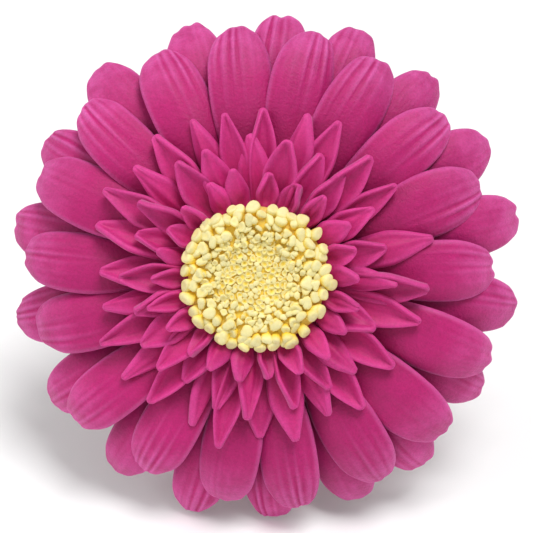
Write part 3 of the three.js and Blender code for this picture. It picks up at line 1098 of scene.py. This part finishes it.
@dataclass(frozen=True)
class Lump:
    """A small swollen floret of the disc: a stalk under a soft, uneven head. Its sizes are shares of its width."""

    name: str
    seed: int
    stalk: float = 0.42
    head: float = 0.5  # radius of its head
    height: float = 0.95
    flat: float = 0.7  # how broad its top stays
    cup: float = 0.0  # depth of the dent in its top
    lobes: int = 3
    lobe_depth: float = 0.05
    slant: float = 0.0  # how far its top is cut off at an angle
    around: int = 14
    rings: int = 5  # rings in its side, and again in its top

    def mesh(self) -> Mesh:
        """Builds the lump, with an attribute named rise from its foot to its highest ring."""
        rng = np.random.default_rng(self.seed)
        phase = rng.random(5) * 2 * math.pi
        high, wide = self.height, self.head
        flank = bezier(
            (self.stalk, 0.0), (self.stalk, 0.45 * high), (wide, 0.5 * high), (wide, 0.74 * high), self.rings
        )
        top = bezier(
            (wide, 0.74 * high), (wide, high), (self.flat * wide, 1.04 * high), (0.0, high - self.cup), self.rings + 1
        )

        def wobble(angle: Grid, rise: Grid) -> Grid:
            """What makes the lump uneven: lobes, a flat side and dents, all growing towards its top."""
            lobed = self.lobe_depth * np.cos(self.lobes * angle + phase[0] + 1.2 * rise)
            dented = 0.035 * np.cos(2 * angle + phase[2] + 2 * rise) + 0.025 * np.cos(3 * angle + phase[3])
            return smoothstep(0.1, 0.5, rise) * (1 - 0.7 * smoothstep(0.65, 1.0, rise)) * (lobed + dented)

        mesh = turned(self.name, [(0.0, 0.0)] + flank + top[1:], self.around, wobble)
        rise = mesh.attributes["rise"].data
        for vertex, held in zip(mesh.vertices, rise):
            share = max(vertex.co.z, 0.0) / high
            held.value = share
            vertex.co.z += self.slant * vertex.co.x * share**2
        return mesh


def scatter_tree() -> NodeTree:
    """The tree that plants lumps on the disc's bed in the spiral order of a daisy.

    Returns:
        The tree.
    """
    number, whole = "NodeSocketFloat", "NodeSocketInt"
    build, given, out = geometry_tree(
        "spiral_of_florets",
        {
            "Bed": ("NodeSocketObject", None),
            "Lumps": ("NodeSocketCollection", None),
            "Count": (whole, 100),
            "Inner Radius": (number, 0.0),
            "Outer Radius": (number, 8.0),
            "Size": (number, 1.0),
            "Size Spread": (number, 0.2),
            "Tilt Spread": (number, 0.3),
            "Outward Lean": (number, 0.2),
            "Jitter": (number, 0.2),
            "Sink": (number, 0.2),
            "Seed": (whole, 1),
            "Finish": ("NodeSocketMaterial", None),
        },
    )

    def random_between(low: object, high: object, salt: int) -> Socket:
        """A number that is random from point to point."""
        return build.random(low, high, build.plus(given["Seed"], float(salt)))

    line = build.add("GeometryNodeMeshLine", {"Count": given["Count"]}, mode="OFFSET")
    index = build.add("GeometryNodeInputIndex").outputs[0]
    share = build.math("DIVIDE", build.plus(index, 0.5), given["Count"])
    inner2 = build.math("POWER", given["Inner Radius"], 2.0)
    outer2 = build.math("POWER", given["Outer Radius"], 2.0)
    spread = build.times(share, build.minus(outer2, inner2))
    radius = build.math("SQRT", build.plus(inner2, spread))
    angle = build.times(index, GOLDEN_ANGLE)
    minus = build.times(given["Jitter"], -1.0)
    x, y = (
        build.plus(build.times(radius, build.math(wave, angle)), random_between(minus, given["Jitter"], salt))
        for wave, salt in (("COSINE", 1), ("SINE", 2))
    )

    bed = build.add("GeometryNodeObjectInfo", {0: given["Bed"]}, transform_space="ORIGINAL")
    hit = build.add(
        "GeometryNodeRaycast",
        {
            "Target Geometry": bed.outputs["Geometry"],
            "Source Position": build.combine(x, y, 60.0),
            "Ray Direction": (0.0, 0.0, -1.0),
            "Ray Length": 100.0,
        },
    )
    normal = hit.outputs["Hit Normal"]
    sunk = build.vector("MULTIPLY", normal, build.even(given["Sink"]))
    planted = build.vector("SUBTRACT", hit.outputs["Hit Position"], sunk)
    points = build.add("GeometryNodeSetPosition", {"Geometry": line.outputs[0], "Position": planted})

    outward = build.vector("NORMALIZE", build.combine(x, y, 0.0))
    lean = build.times(given["Outward Lean"], build.math("DIVIDE", radius, given["Outer Radius"]))
    tilt = build.times(given["Tilt Spread"], -1.0)
    wander = build.combine(*(random_between(tilt, given["Tilt Spread"], salt) for salt in (3, 4)), 0.0)
    leaned = build.vector("MULTIPLY", outward, build.even(lean))
    heading = build.vector("ADD", build.vector("ADD", normal, wander), leaned)
    stand = build.add("FunctionNodeAlignRotationToVector", {"Vector": heading}, axis="Z")
    turn = random_between(0.0, FULL_TURN, 5)
    spin = build.add("FunctionNodeAxisAngleToRotation", {"Axis": (0.0, 0.0, 1.0), "Angle": turn})
    feeds = {0: stand.outputs[0], 1: spin.outputs[0]}
    rotation = build.add("FunctionNodeRotateRotation", feeds, rotation_space="LOCAL")
    small = build.times(given["Size"], build.minus(1.0, given["Size Spread"]))
    large = build.times(given["Size"], build.plus(1.0, given["Size Spread"]))
    scale = build.combine(*(random_between(small, large, salt) for salt in (6, 7, 8)))
    kind = build.add("FunctionNodeRandomValue", {4: 0, 5: 7, "Seed": given["Seed"]}, data_type="INT").outputs[2]
    toned = build.add(
        "GeometryNodeStoreNamedAttribute",
        {"Geometry": points.outputs[0], "Name": "tone", "Value": random_between(0.0, 1.0, 9)},
        data_type="FLOAT",
        domain="POINT",
    )
    solid = build.planted(toned.outputs[0], given["Lumps"], kind, Rotation=rotation.outputs[0], Scale=scale)
    return build.ends(solid, given["Finish"], out)


@dataclass(frozen=True)
class FloretRing:
    """One ring of the disc, with the shapes that stand in it. Lengths are in millimetres."""

    name: str
    count: int
    inner: float
    outer: float
    width: float  # breadth of a floret
    sink: float  # share of its width that is under the bed
    tilt: float
    lean: float
    seed: int
    lumps: tuple[Lump, ...]


RIM_LUMPS = (
    Lump("rim_round", 1, flat=0.62, lobe_depth=0.03),
    Lump("rim_cut", 2, flat=0.7, slant=0.2, lobes=2, lobe_depth=0.05),
    Lump("rim_dented", 3, flat=0.75, cup=0.08, lobes=3, lobe_depth=0.05),
    Lump("rim_long", 4, height=1.1, flat=0.6, slant=-0.15, lobes=2, lobe_depth=0.05),
    Lump("rim_squat", 5, height=0.8, flat=0.75, lobes=3, lobe_depth=0.04, slant=0.15),
)
OPEN_LUMPS = (
    Lump("open_round", 6, flat=0.55, lobe_depth=0.03, around=13, rings=4),
    Lump("open_cut", 7, height=1.05, flat=0.6, slant=0.3, lobes=2, lobe_depth=0.12, around=13, rings=4),
    Lump("open_cup", 8, flat=0.85, cup=0.16, lobes=3, lobe_depth=0.07, around=13, rings=4),
    Lump("open_twin", 9, height=0.85, flat=0.62, lobes=2, lobe_depth=0.13, around=13, rings=4),
    Lump("open_three", 10, flat=0.66, lobes=3, lobe_depth=0.09, slant=-0.2, around=13, rings=4),
)
STARRY_LUMPS = (
    Lump("star_five", 11, stalk=0.32, flat=0.9, cup=0.24, lobes=4, lobe_depth=0.06, around=10, rings=3),
    Lump("star_three", 12, stalk=0.32, flat=0.66, lobes=3, lobe_depth=0.12, slant=0.25, around=10, rings=3),
    Lump("star_two", 13, stalk=0.3, height=1.1, flat=0.6, lobes=2, lobe_depth=0.1, slant=0.2, around=8, rings=3),
    Lump("star_round", 14, stalk=0.34, flat=0.6, lobe_depth=0.04, around=8, rings=3),
)
BUD_LUMPS = (
    Lump("bud_ring", 15, stalk=0.5, height=0.56, flat=1.0, cup=0.42, lobe_depth=0.03, around=12, rings=4),
    Lump("bud_wide_ring", 16, stalk=0.55, head=0.58, height=0.5, flat=1.05, cup=0.38, lobes=5,
         lobe_depth=0.03, around=12, rings=4),
    Lump("bud_closed", 17, stalk=0.45, head=0.46, height=0.56, flat=0.6, lobe_depth=0.05, around=9, rings=3),
    Lump("bud_torn", 18, stalk=0.5, height=0.6, flat=0.95, cup=0.3, lobes=3, lobe_depth=0.08, around=11, rings=4),
)


@dataclass(frozen=True)
class Disc:
    """The yellow centre: a bed with four rings of florets."""

    radius: float = 14.4
    base: float = 7.85
    crest: float = 2.7  # height of the bed's high ring over its base
    dip: float = 2.1  # height of the bed's middle over its base
    rings: tuple[FloretRing, ...] = (
        FloretRing("rim", 36, 13.0, 13.7, 2.75, 0.3, 0.3, 0.75, 12, RIM_LUMPS),
        FloretRing("open", 72, 10.0, 13.2, 2.3, 0.3, 0.45, 0.35, 31, OPEN_LUMPS),
        FloretRing("starry", 130, 7.1, 10.6, 1.5, 0.3, 0.6, 0.15, 51, STARRY_LUMPS),
        FloretRing("buds", 140, 0.0, 7.8, 1.42, 0.2, 0.14, 0.0, 71, BUD_LUMPS),
    )

    def bed(self) -> Mesh:
        """The bed the florets stand on, with a fleshy side."""
        r, h = self.radius, self.base
        side = bezier(
            (0.94 * r, h), (1.03 * r, h + 0.9), (1.02 * r, h + 2.2), (0.86 * r, h + self.crest), 9
        )
        top = bezier(
            (0.86 * r, h + self.crest),
            (0.7 * r, h + self.crest + 0.5),
            (0.56 * r, h + self.dip),
            (0.0, h + self.dip),
            14,
        )

        def lumpy(angle: Grid, rise: Grid) -> Grid:
            """Shallow folds in the bed's side."""
            folds = ripple(angle / (2 * math.pi), [(0.14, 9, 0.1), (0.1, 14, 0.6)])
            return folds * smoothstep(0.05, 0.2, rise) * (1 - smoothstep(0.5, 0.7, rise))

        return turned("disc_bed", [(0.0, h), (0.5 * r, h)] + side + top[1:], 96, lumpy)

    def dress(self, head: HeadFrame, finishes: Finishes) -> None:
        """Makes the bed and its rings of florets pieces.

        Args:
            head: The head's frame.
            finishes: The flower's finishes.
        """
        tree = scatter_tree()
        bed_mesh = self.bed()
        bed_object = bpy.data.objects.new("disc_bed_target", bed_mesh.copy())
        for ring in self.rings:
            values = {
                "Bed": bed_object,
                "Lumps": hidden_stock(f"{ring.name}_lumps", [lump.mesh() for lump in ring.lumps]),
                "Count": ring.count,
                "Inner Radius": ring.inner,
                "Outer Radius": ring.outer,
                "Size": ring.width,
                "Size Spread": 0.2,
                "Tilt Spread": ring.tilt,
                "Outward Lean": ring.lean,
                "Jitter": 0.16 * ring.width,
                "Sink": ring.sink * ring.width,
                "Seed": ring.seed,
                "Finish": finishes.disc,
            }
            name = f"disc_florets_{ring.name}"
            mesh = grown(seats(name + "_seats", {"tone": [0.0]}), tree, values, name)
            nodes = ("disc_florets",) if ring is self.rings[0] else ()
            show(head.place(mesh), finishes.disc, "disc", *nodes)
        show(head.place(bed_mesh), finishes.bed, "disc")


# ------------------------------------------ receptacle and bracts


@dataclass(frozen=True)
class Bell:
    """The receptacle's bell under the rim, and the post that carries the florets."""

    radius: float = 12.2
    depth: float = 20.0
    top: float = -4.2
    neck: float = 3.2
    post: float = 13.0
    post_top: float = 7.5

    def side(self, count: int) -> list[tuple[float, float]]:
        """Radius and height pairs up the bell's side, from the neck to its widest."""
        return bezier(
            (self.neck, -self.depth),
            (0.62 * self.radius, -0.98 * self.depth),
            (0.96 * self.radius, -0.62 * self.depth),
            (self.radius, self.top),
            count,
        )

    def dress(self, head: HeadFrame, finishes: Finishes) -> None:
        """Makes the receptacle a piece.

        Args:
            head: The head's frame.
            finishes: The flower's finishes.
        """
        shoulder = bezier(
            (self.radius, self.top),
            (self.radius + 0.2, self.top + 0.5),
            (self.post, self.top + 0.7),
            (self.post, self.top + 1.4),
            6,
        )
        foot = [(0.0, -self.depth), (0.6 * self.neck, -self.depth)]
        side, top = self.post, self.post_top
        post = [(side, 0.0), (side, top - 0.4), (side - 0.4, top), (0.0, top)]
        profile = foot + self.side(18) + shoulder[1:] + post

        def ribbed(angle: Grid, rise: Grid) -> Grid:
            """Faint ribs that fade out under the rim."""
            return 0.1 * np.sin(20 * angle) * (1 - smoothstep(0.6, 0.8, rise))

        show(head.place(turned("receptacle_body", profile, 120, ribbed)), finishes.bract, "bracts", "receptacle")


def bract_tree() -> NodeTree:
    """The tree that lays a row of bracts against the bell, each following the bell's side.

    Each seat holds bearing, from, to, breadth, lift, flare, kind and tone.

    Returns:
        The tree.
    """
    build, given, out = geometry_tree(
        "row_of_bracts",
        {
            "Blades": ("NodeSocketCollection", None),
            "Bell Side": ("NodeSocketObject", None),
            "Finish": ("NodeSocketMaterial", None),
        },
    )

    held = build.held
    loose = build.planted(given["Geometry"], given["Blades"], held("kind"))
    x, y, z = build.split(build.add("GeometryNodeInputPosition").outputs[0])
    span = build.minus(held("to"), held("from"))
    factor = build.plus(held("from"), build.times(x, span), clamp=True)
    side = build.add("GeometryNodeObjectInfo", {0: given["Bell Side"]}, transform_space="ORIGINAL")
    path = build.add("GeometryNodeMeshToCurve", {0: side.outputs["Geometry"]})
    feeds = {"Curves": path.outputs[0], "Factor": factor}
    sample = build.add("GeometryNodeSampleCurve", feeds, mode="FACTOR", use_all_curves=True)
    on, heading = build.split(sample.outputs["Position"]), build.split(sample.outputs["Tangent"])
    flare = build.times(held("flare"), build.math("POWER", build.math("MAXIMUM", x, 0.0), 3.0))
    stood_off = build.times(held("lift"), build.span(x, 0.0, 0.45, 0.12, 1.0))
    off = build.plus(build.plus(stood_off, flare), z)
    radius = build.plus(on[0], build.times(off, heading[2]))
    height = build.minus(on[2], build.times(off, heading[0]))
    sideways = build.times(y, held("breadth"))
    around = build.math("DIVIDE", sideways, build.math("MAXIMUM", on[0], 1.0))
    spun = build.plus(held("bearing"), around)
    shaped = build.combine(radius, 0.0, height)
    turn = build.add("ShaderNodeVectorRotate", {"Vector": shaped, "Angle": spun}, rotation_type="Z_AXIS").outputs[0]
    moved = build.add("GeometryNodeSetPosition", {"Geometry": loose, "Position": turn})
    return build.ends(moved.outputs[0], given["Finish"], out)


@dataclass(frozen=True)
class BractRow:
    """One row of bracts. Shares are of the way up the bell's side, and the rest is in millimetres and degrees."""

    name: str
    node: str
    count: int
    foot: float
    tip: float
    lift: float
    breadth: float
    phase: float
    seed: int

    def dress(
        self, head: HeadFrame, tree: NodeTree, blades: Collection, side: bpy.types.Object, finish: Material
    ) -> None:
        """Grows the row and makes it a piece.

        Args:
            head: The head's frame.
            tree: The tree that lays a row of bracts.
            blades: The bract shapes to pick from.
            side: The bell's side, as a line.
            finish: The bracts' material.
        """
        rng = np.random.default_rng(self.seed)
        count = self.count
        wander = rng.uniform(-2.5, 2.5, count)
        columns = {
            "bearing": [math.radians(self.phase + 360 / count * i + wander[i]) for i in range(count)],
            "from": np.full(count, self.foot),
            "to": self.tip - rng.uniform(0.0, 0.07, count),
            "breadth": self.breadth * rng.uniform(0.92, 1.1, count),
            "lift": self.lift + rng.uniform(-0.12, 0.12, count),
            "flare": rng.uniform(0.0, 0.9, count),
            "tone": rng.random(count),
        }
        points = picked_seats(self.name, columns, blades, rng)
        values = {"Blades": blades, "Bell Side": side, "Finish": finish}
        show(head.place(grown(points, tree, values, self.name)), finish, "bracts", self.node)


# ------------------------------------------ stem


@dataclass(frozen=True)
class Stem:
    """The short length of stem, in millimetres: straight behind the head, then an arc down, then level."""

    neck_radius: float = 2.7
    foot_radius: float = 3.3
    neck_length: float = 18.0
    lying_length: float = 22.0
    ribs: int = 9
    rib_depth: float = 0.09
    neck_swell: float = 1.0  # how much thicker it is where it meets the head
    hollow_radius: float = 1.5
    hollow_depth: float = 5.0
    step: float = 1.0
    around: int = 54

    def path(self, neck: Vector) -> list[Vector]:
        """Points down the stem's middle.

        Args:
            neck: Where the stem leaves the head, in the row's frame, in millimetres.

        Returns:
            The points, about a step apart.
        """
        tilt = math.radians(FACE_TILT)
        ahead = Vector((0.0, math.cos(tilt), -math.sin(tilt)))
        bend = neck + ahead * self.neck_length
        radius = (bend.z - self.foot_radius) / (1 - math.cos(tilt))
        centre = Vector((neck.x, bend.y + radius * math.sin(tilt), bend.z + radius * math.cos(tilt)))
        points = [neck.lerp(bend, t) for t in np.arange(0, 1, self.step / self.neck_length)]
        for t in np.arange(0, 1, self.step / (radius * tilt)):
            a = tilt * (1 - t)
            points.append(centre - radius * Vector((0.0, math.sin(a), math.cos(a))))
        foot = Vector((neck.x, centre.y, self.foot_radius))
        for t in np.linspace(0, 1, int(self.lying_length / self.step) + 1):
            points.append(foot + Vector((0.0, self.lying_length * float(t), 0.0)))
        return points

    def skin(self, neck: Vector) -> Mesh:
        """The stem's skin, ribbed and a little uneven, with a rim at its cut end.

        Args:
            neck: Where the stem leaves the head, in the row's frame, in millimetres.

        Returns:
            The mesh, in metres, with attributes rise, down the stem, and tone.
        """
        points = self.path(neck)
        count = len(points)
        angle = np.linspace(0, 2 * math.pi, self.around, endpoint=False)
        rings = []
        for j, p in enumerate(points):
            ahead = (points[min(count - 1, j + 1)] - points[max(0, j - 1)]).normalized()
            up = Vector((0.0, -ahead.z, ahead.y))
            t = j / (count - 1)
            radius = self.neck_radius + (self.foot_radius - self.neck_radius) * t
            ribs = self.rib_depth * np.cos(self.ribs * angle + 1.1 * t)
            uneven = 0.06 * math.sin(2 * math.pi * 3.3 * t) + 0.05 * np.cos(2 * angle + 9 * t)
            swell = self.neck_swell * math.exp(-((j * self.step) / 2.6) ** 2)
            r = radius - self.rib_depth + ribs + uneven + swell
            sides = zip(r, angle)
            across = Vector((-1.0, 0.0, 0.0))
            rings.append([p + across * (float(c) * math.cos(a)) + up * float(c) * math.sin(a) for c, a in sides])
        grid = np.array([[list(v) for v in ring] for ring in rings])
        # The cut: over the rim, and down into the hollow.
        last, centre = grid[-1], np.array(points[-1])
        outward = last - centre
        reach = np.linalg.norm(outward, axis=1, keepdims=True)
        hollow = centre + outward / reach * self.hollow_radius
        bottom = centre - np.array([0.0, self.hollow_depth + 0.4, 0.0])
        lips = [centre + outward * share + np.array([0.0, push, 0.0]) for share, push in ((0.93, 0.12), (0.6, 0.05))]
        lips += [hollow - np.array([0.0, deep, 0.0]) for deep in (0.3, self.hollow_depth)]
        lips += [np.repeat(bottom[None, :], self.around, axis=0)]
        start = np.repeat(np.array(points[0])[None, :], self.around, axis=0)
        grid = np.concatenate([start[None], grid, np.array(lips)])
        rise = np.concatenate([[0.0], np.linspace(0, 1, count), np.full(len(lips), 1.0)])
        values = {"rise": rise[:, None] + np.zeros((1, self.around)), "tone": np.full(grid.shape[:2], 0.5)}
        mesh = tube("stem_skin", grid, values)
        mesh.transform(Matrix.Scale(MM, 4))
        return mesh

    def dress(self, head: HeadFrame, finishes: Finishes, neck_depth: float) -> None:
        """Makes the stem and its down pieces.

        Args:
            head: The head's frame.
            finishes: The flower's finishes.
            neck_depth: How far under the receptacle's rim the stem starts, in millimetres.
        """
        neck = (head.matrix @ Vector((0.0, 0.0, -neck_depth))) / MM
        mesh = self.skin(neck)
        show(mesh, finishes.stem, "stem", "stem")
        mesh.materials.append(finishes.pith)
        end = max(v.co.y for v in mesh.vertices)
        cut = end - (self.hollow_depth + 1.0) * MM
        hollow = (self.hollow_radius + 0.5) * MM
        for face in mesh.polygons:
            off_axis = (face.center.x**2 + (face.center.z - self.foot_radius * MM) ** 2) ** 0.5
            inward = face.center.y > cut and (face.normal.y > 0.5 or off_axis < hollow)
            face.material_index = 1 if inward else 0
        length = 0.8 * MM
        values = {
            "Density": 0.9e6,
            "Length": length,
            "Lowest": 1.3 * length,
            "Furthest": end - 1.3 * length,
            "Finish": finishes.down,
        }
        hairs = grown(mesh.copy(), down_tree(), values, "stem_down")
        show(hairs, finishes.down, "stem")


def down_tree() -> NodeTree:
    """The tree that covers a skin with short, soft hairs.

    Returns:
        The tree.
    """
    build, given, out = geometry_tree(
        "down",
        {
            "Density": ("NodeSocketFloat", 1.0e6),
            "Length": ("NodeSocketFloat", 0.0008),
            "Lowest": ("NodeSocketFloat", 0.001),
            "Furthest": ("NodeSocketFloat", 0.1),
            "Seed": ("NodeSocketInt", 3),
            "Finish": ("NodeSocketMaterial", None),
        },
    )
    place = build.split(build.add("GeometryNodeInputPosition").outputs[0])
    clear = build.math("GREATER_THAN", place[2], given["Lowest"])
    short_of_cut = build.math("LESS_THAN", place[1], given["Furthest"])
    scattered = build.add(
        "GeometryNodeDistributePointsOnFaces",
        {
            "Mesh": given["Geometry"],
            "Selection": build.times(clear, short_of_cut),
            "Density": given["Density"],
            "Seed": given["Seed"],
        },
        distribute_method="RANDOM",
    )
    hair = build.add(
        "GeometryNodeMeshCone",
        {"Vertices": 3, "Side Segments": 1, "Radius Top": 0.0, "Radius Bottom": 0.03, "Depth": 1.0},
    )
    feeds = {0: (-0.5, -0.5, -0.5), 1: (0.5, 0.5, 0.5), "Seed": 5}
    wander = build.add("FunctionNodeRandomValue", feeds, data_type="FLOAT_VECTOR")
    heading = build.vector("ADD", scattered.outputs["Normal"], wander.outputs[0])
    stand = build.add("FunctionNodeAlignRotationToVector", {"Vector": heading}, axis="Z")
    size = build.times(build.random(0.5, 1.2, 8), given["Length"])
    planted = build.add(
        "GeometryNodeInstanceOnPoints",
        {
            "Points": scattered.outputs["Points"],
            "Instance": hair.outputs["Mesh"],
            "Rotation": stand.outputs[0],
            "Scale": build.even(size),
        },
    )
    solid = build.add("GeometryNodeRealizeInstances", {0: planted.outputs[0]})
    return build.ends(solid.outputs[0], given["Finish"], out)


# ------------------------------------------ stage


@dataclass(frozen=True)
class Studio:
    """A pale floor, soft light and the camera."""

    azimuth: float = 4.0
    elevation: float = 35.3
    distance: float = 0.309
    lens: float = 100.0
    floor_radius: float = 4.0
    floor_shade: float = 0.91
    sky: float = 0.48
    lit: Triple = (0.0, -0.06, 0.05)  # the point that the lights face
    lights: tuple[tuple[str, Triple, float, float], ...] = (
        ("key", (0.3, -0.28, 1.45), 0.6, 16.0),
        ("fill", (-1.4, -0.45, 1.0), 1.0, 8.0),
    )

    def aim(self, target: Vector) -> None:
        """Puts the camera round the flower's face.

        Args:
            target: The point that it looks at.
        """
        a, e = math.radians(self.azimuth), math.radians(self.elevation)
        back = Vector((math.sin(a) * math.cos(e), -math.cos(a) * math.cos(e), math.sin(e)))
        camera = bpy.data.objects.new("camera", bpy.data.cameras.new("camera"))
        camera.data.lens = self.lens
        camera.data.clip_start = 0.01
        camera.location = target + back * self.distance
        camera.rotation_euler = (-back).to_track_quat("-Z", "Y").to_euler()
        bpy.context.scene.collection.objects.link(camera)
        bpy.context.scene.camera = camera

    def floor(self) -> None:
        """Lays the floor."""
        material = bpy.data.materials.new("floor")
        material.use_nodes = True
        skin = material.node_tree.nodes["Principled BSDF"]
        skin.inputs["Base Color"].default_value = (*[self.floor_shade] * 3, 1.0)
        skin.inputs["Roughness"].default_value = 0.9
        skin.inputs["Specular IOR Level"].default_value = 0.1
        angle = np.linspace(0, 2 * math.pi, 96, endpoint=False)
        x, y = self.floor_radius * np.cos(angle), self.floor_radius * np.sin(angle)
        points = np.stack([x, y, 0 * angle - 0.0002], axis=-1)
        mesh = mesh_from("floor", points, [tuple(range(96))], {})
        mesh.materials.append(material)
        floor = bpy.data.objects.new("floor", mesh)
        bpy.context.scene.collection.objects.link(floor)

    def light(self, name: str, place: tuple[float, float, float], size: float, power: float) -> None:
        """Adds a soft square light that faces the flower.

        Args:
            name: The light's name.
            place: Where it hangs, in metres.
            size: Its side, in metres.
            power: Its power, in watts.
        """
        lamp = bpy.data.lights.new(name, "AREA")
        lamp.size = size
        lamp.energy = power
        holder = bpy.data.objects.new(name, lamp)
        holder.location = place
        holder.rotation_euler = (Vector(self.lit) - Vector(place)).to_track_quat("-Z", "Y").to_euler()
        bpy.context.scene.collection.objects.link(holder)

    def set_up(self, target: Vector) -> None:
        """Makes the camera, the floor and the lights.

        Args:
            target: The point that the camera looks at.
        """
        self.aim(target)
        self.floor()
        for lamp in self.lights:
            self.light(*lamp)
        world = bpy.data.worlds.new("world")
        world.use_nodes = True
        world.node_tree.nodes["Background"].inputs["Color"].default_value = (1.0, 1.0, 1.0, 1.0)
        world.node_tree.nodes["Background"].inputs["Strength"].default_value = self.sky
        bpy.context.scene.world = world
        bpy.context.scene.view_settings.view_transform = "Standard"


# ------------------------------------------ the flower

RAYS = (
    RayWhorl(
        name="back_petal",
        node="ray_back",
        reach=55.3,
        level=-1.9,
        rise=3.0,
        droop=9.0,
        roll=8.0,
        phase=12.4,
        lean=(1, -0.5, -2, -3.5, -5, -3.5, -2, -1, -0.5, 1, 2, 3, 3.5, 2, 2.5, 0, 0.5, 1),
        extra=(1, 0.3, 0, 0.2, -0.6, -0.3, 0.7, -0.4, 0, 0, 0, 0.3, 0.7, -0.5, -0.5, 0.2, -0.9, 0),
        seed=100,
    ),
    RayWhorl(
        name="front_petal",
        node="ray_front",
        reach=51.3,
        level=2.2,
        rise=3.0,
        droop=7.5,
        roll=9.0,
        phase=0.3,
        lean=(2.5, 3.5, 2.5, 2.2, -0.6, -3, -4, -2, -3, -1.5, -3, 0, 1.5, 2.5, 0.5, 1.5, 0, 0.5),
        extra=(-1.8, -1.4, -0.4, 0, 0.6, 0.6, 0, 0.2, 0.6, -0.2, -1, 0.8, -1, -0.8, 0.5, 0.6, 1.2, 1.2),
        seed=200,
    ),
)

INNER = (
    InnerWhorl(
        name="lower_florets",
        node="inner_florets_lower",
        reach=34.9,
        breadth=6.6,
        level=4.2,
        rise=2.6,
        droop=1.5,
        phase=14.5,
        lean=(0, 7, 7, 8, 4.5, 7, 5, 3, 3, 1.5, -1, -2, 0, -1, -3, -2.5, -4, -2, -4, -5, -6, -6, -8, -4, -0.5, -2),
        extra=(
            2, -0.8, -1, 1, 0, -0.4, -0.8, 0, 1, -1, 1.6, 0.4, -2,
            -2, 1, 1, 0.4, 0, 1.8, -0.4, 0.4, -2.2, 0.4, -1, 0, 0.4,
        ),
        seed=31,
    ),
    InnerWhorl(
        name="middle_florets",
        node="inner_florets_middle",
        reach=28.1,
        breadth=6.2,
        level=5.7,
        rise=2.8,
        droop=0.9,
        phase=-3.0,
        lean=(3, 1.5, 3, 6, 2, 0, -1, 2, -1, 4.5, 2.5, 5.5, 5, 3, -2, -5, -4, -7, -4, -4, -7, -2),
        extra=(
            0.6, -0.9, -0.4, -0.5, 0.3, 0.6, 1.2, 0, 0.6, 0.6, -1.6,
            0.3, -1.6, 0, 0, -1.2, 1, 1.6, 0.4, -0.4, 0.3, -1.5,
        ),
        seed=32,
    ),
    InnerWhorl(
        name="upper_florets",
        node="inner_florets_upper",
        reach=21.6,
        breadth=5.0,
        level=7.2,
        rise=2.6,
        droop=0.0,
        phase=2.5,
        lean=(0, -0.5, -2, 0, -1, 1, 3.5, 1.5, 4.5, 4, 1, 0.5, -0.5, -3, -0.5, -3, -1, -3, -1, 2, 1.5, -0.5),
        extra=(
            -0.6, -0.4, 0.5, 0.2, -0.7, 0, 1.1, 0, -0.8, -0.8, -0.4,
            0, 1.8, -0.4, -0.4, -0.4, 0, -0.5, 0, 0.5, 0, 0.3,
        ),
        seed=33,
    ),
)

BRACTS = (
    BractRow("bract_row_inner", "bracts_inner", 20, 0.3, 1.0, 0.75, 4.0, 0.0, 41),
    BractRow("bract_row_middle", "bracts_middle", 18, 0.16, 0.78, 1.7, 3.9, 7.0, 42),
    BractRow("bract_row_outer", "bracts_outer", 14, 0.04, 0.52, 2.6, 3.6, 3.0, 43),
)


def main() -> None:
    """Builds the flower and its stage."""
    disc, bell, stem = Disc(), Bell(), Stem()
    head = HeadFrame.from_disc(frame["nodes"]["disc_florets"], disc.base)
    finishes = Finishes()
    for whorl in RAYS:
        whorl.dress(head, finishes.ray)
    tree = whorl_tree()
    for ring in INNER:
        ring.dress(head, tree, finishes.inner)
    disc.dress(head, finishes)
    bell.dress(head, finishes)
    side_points = np.array([(r, 0.0, h) for r, h in bell.side(40)])
    side = bpy.data.objects.new("bell_side", bpy.data.meshes.new("bell_side"))
    side.data.from_pydata(side_points.tolist(), [(i, i + 1) for i in range(39)], [])
    bract_blades = hidden_stock(
        "bract_blades",
        [
            LanceBlade("bract_blade_0", 61, 14.0, 4.0, 0.75, -0.3, 0.08, 0.12, 0.8, 0.35, 0.45, 0.35).mesh(),
            LanceBlade("bract_blade_1", 62, 14.0, 4.0, 0.75, -0.35, 0.05, 0.08, 0.8, 0.3, 0.5, 0.35).mesh(),
        ],
    )
    laid = bract_tree()
    for row in BRACTS:
        row.dress(head, laid, bract_blades, side, finishes.bract)
    stem.dress(head, finishes, bell.depth + 0.35)
    Studio().set_up(head.matrix @ Vector(AIM_POINT))


if __name__ == "__main__":
    main()
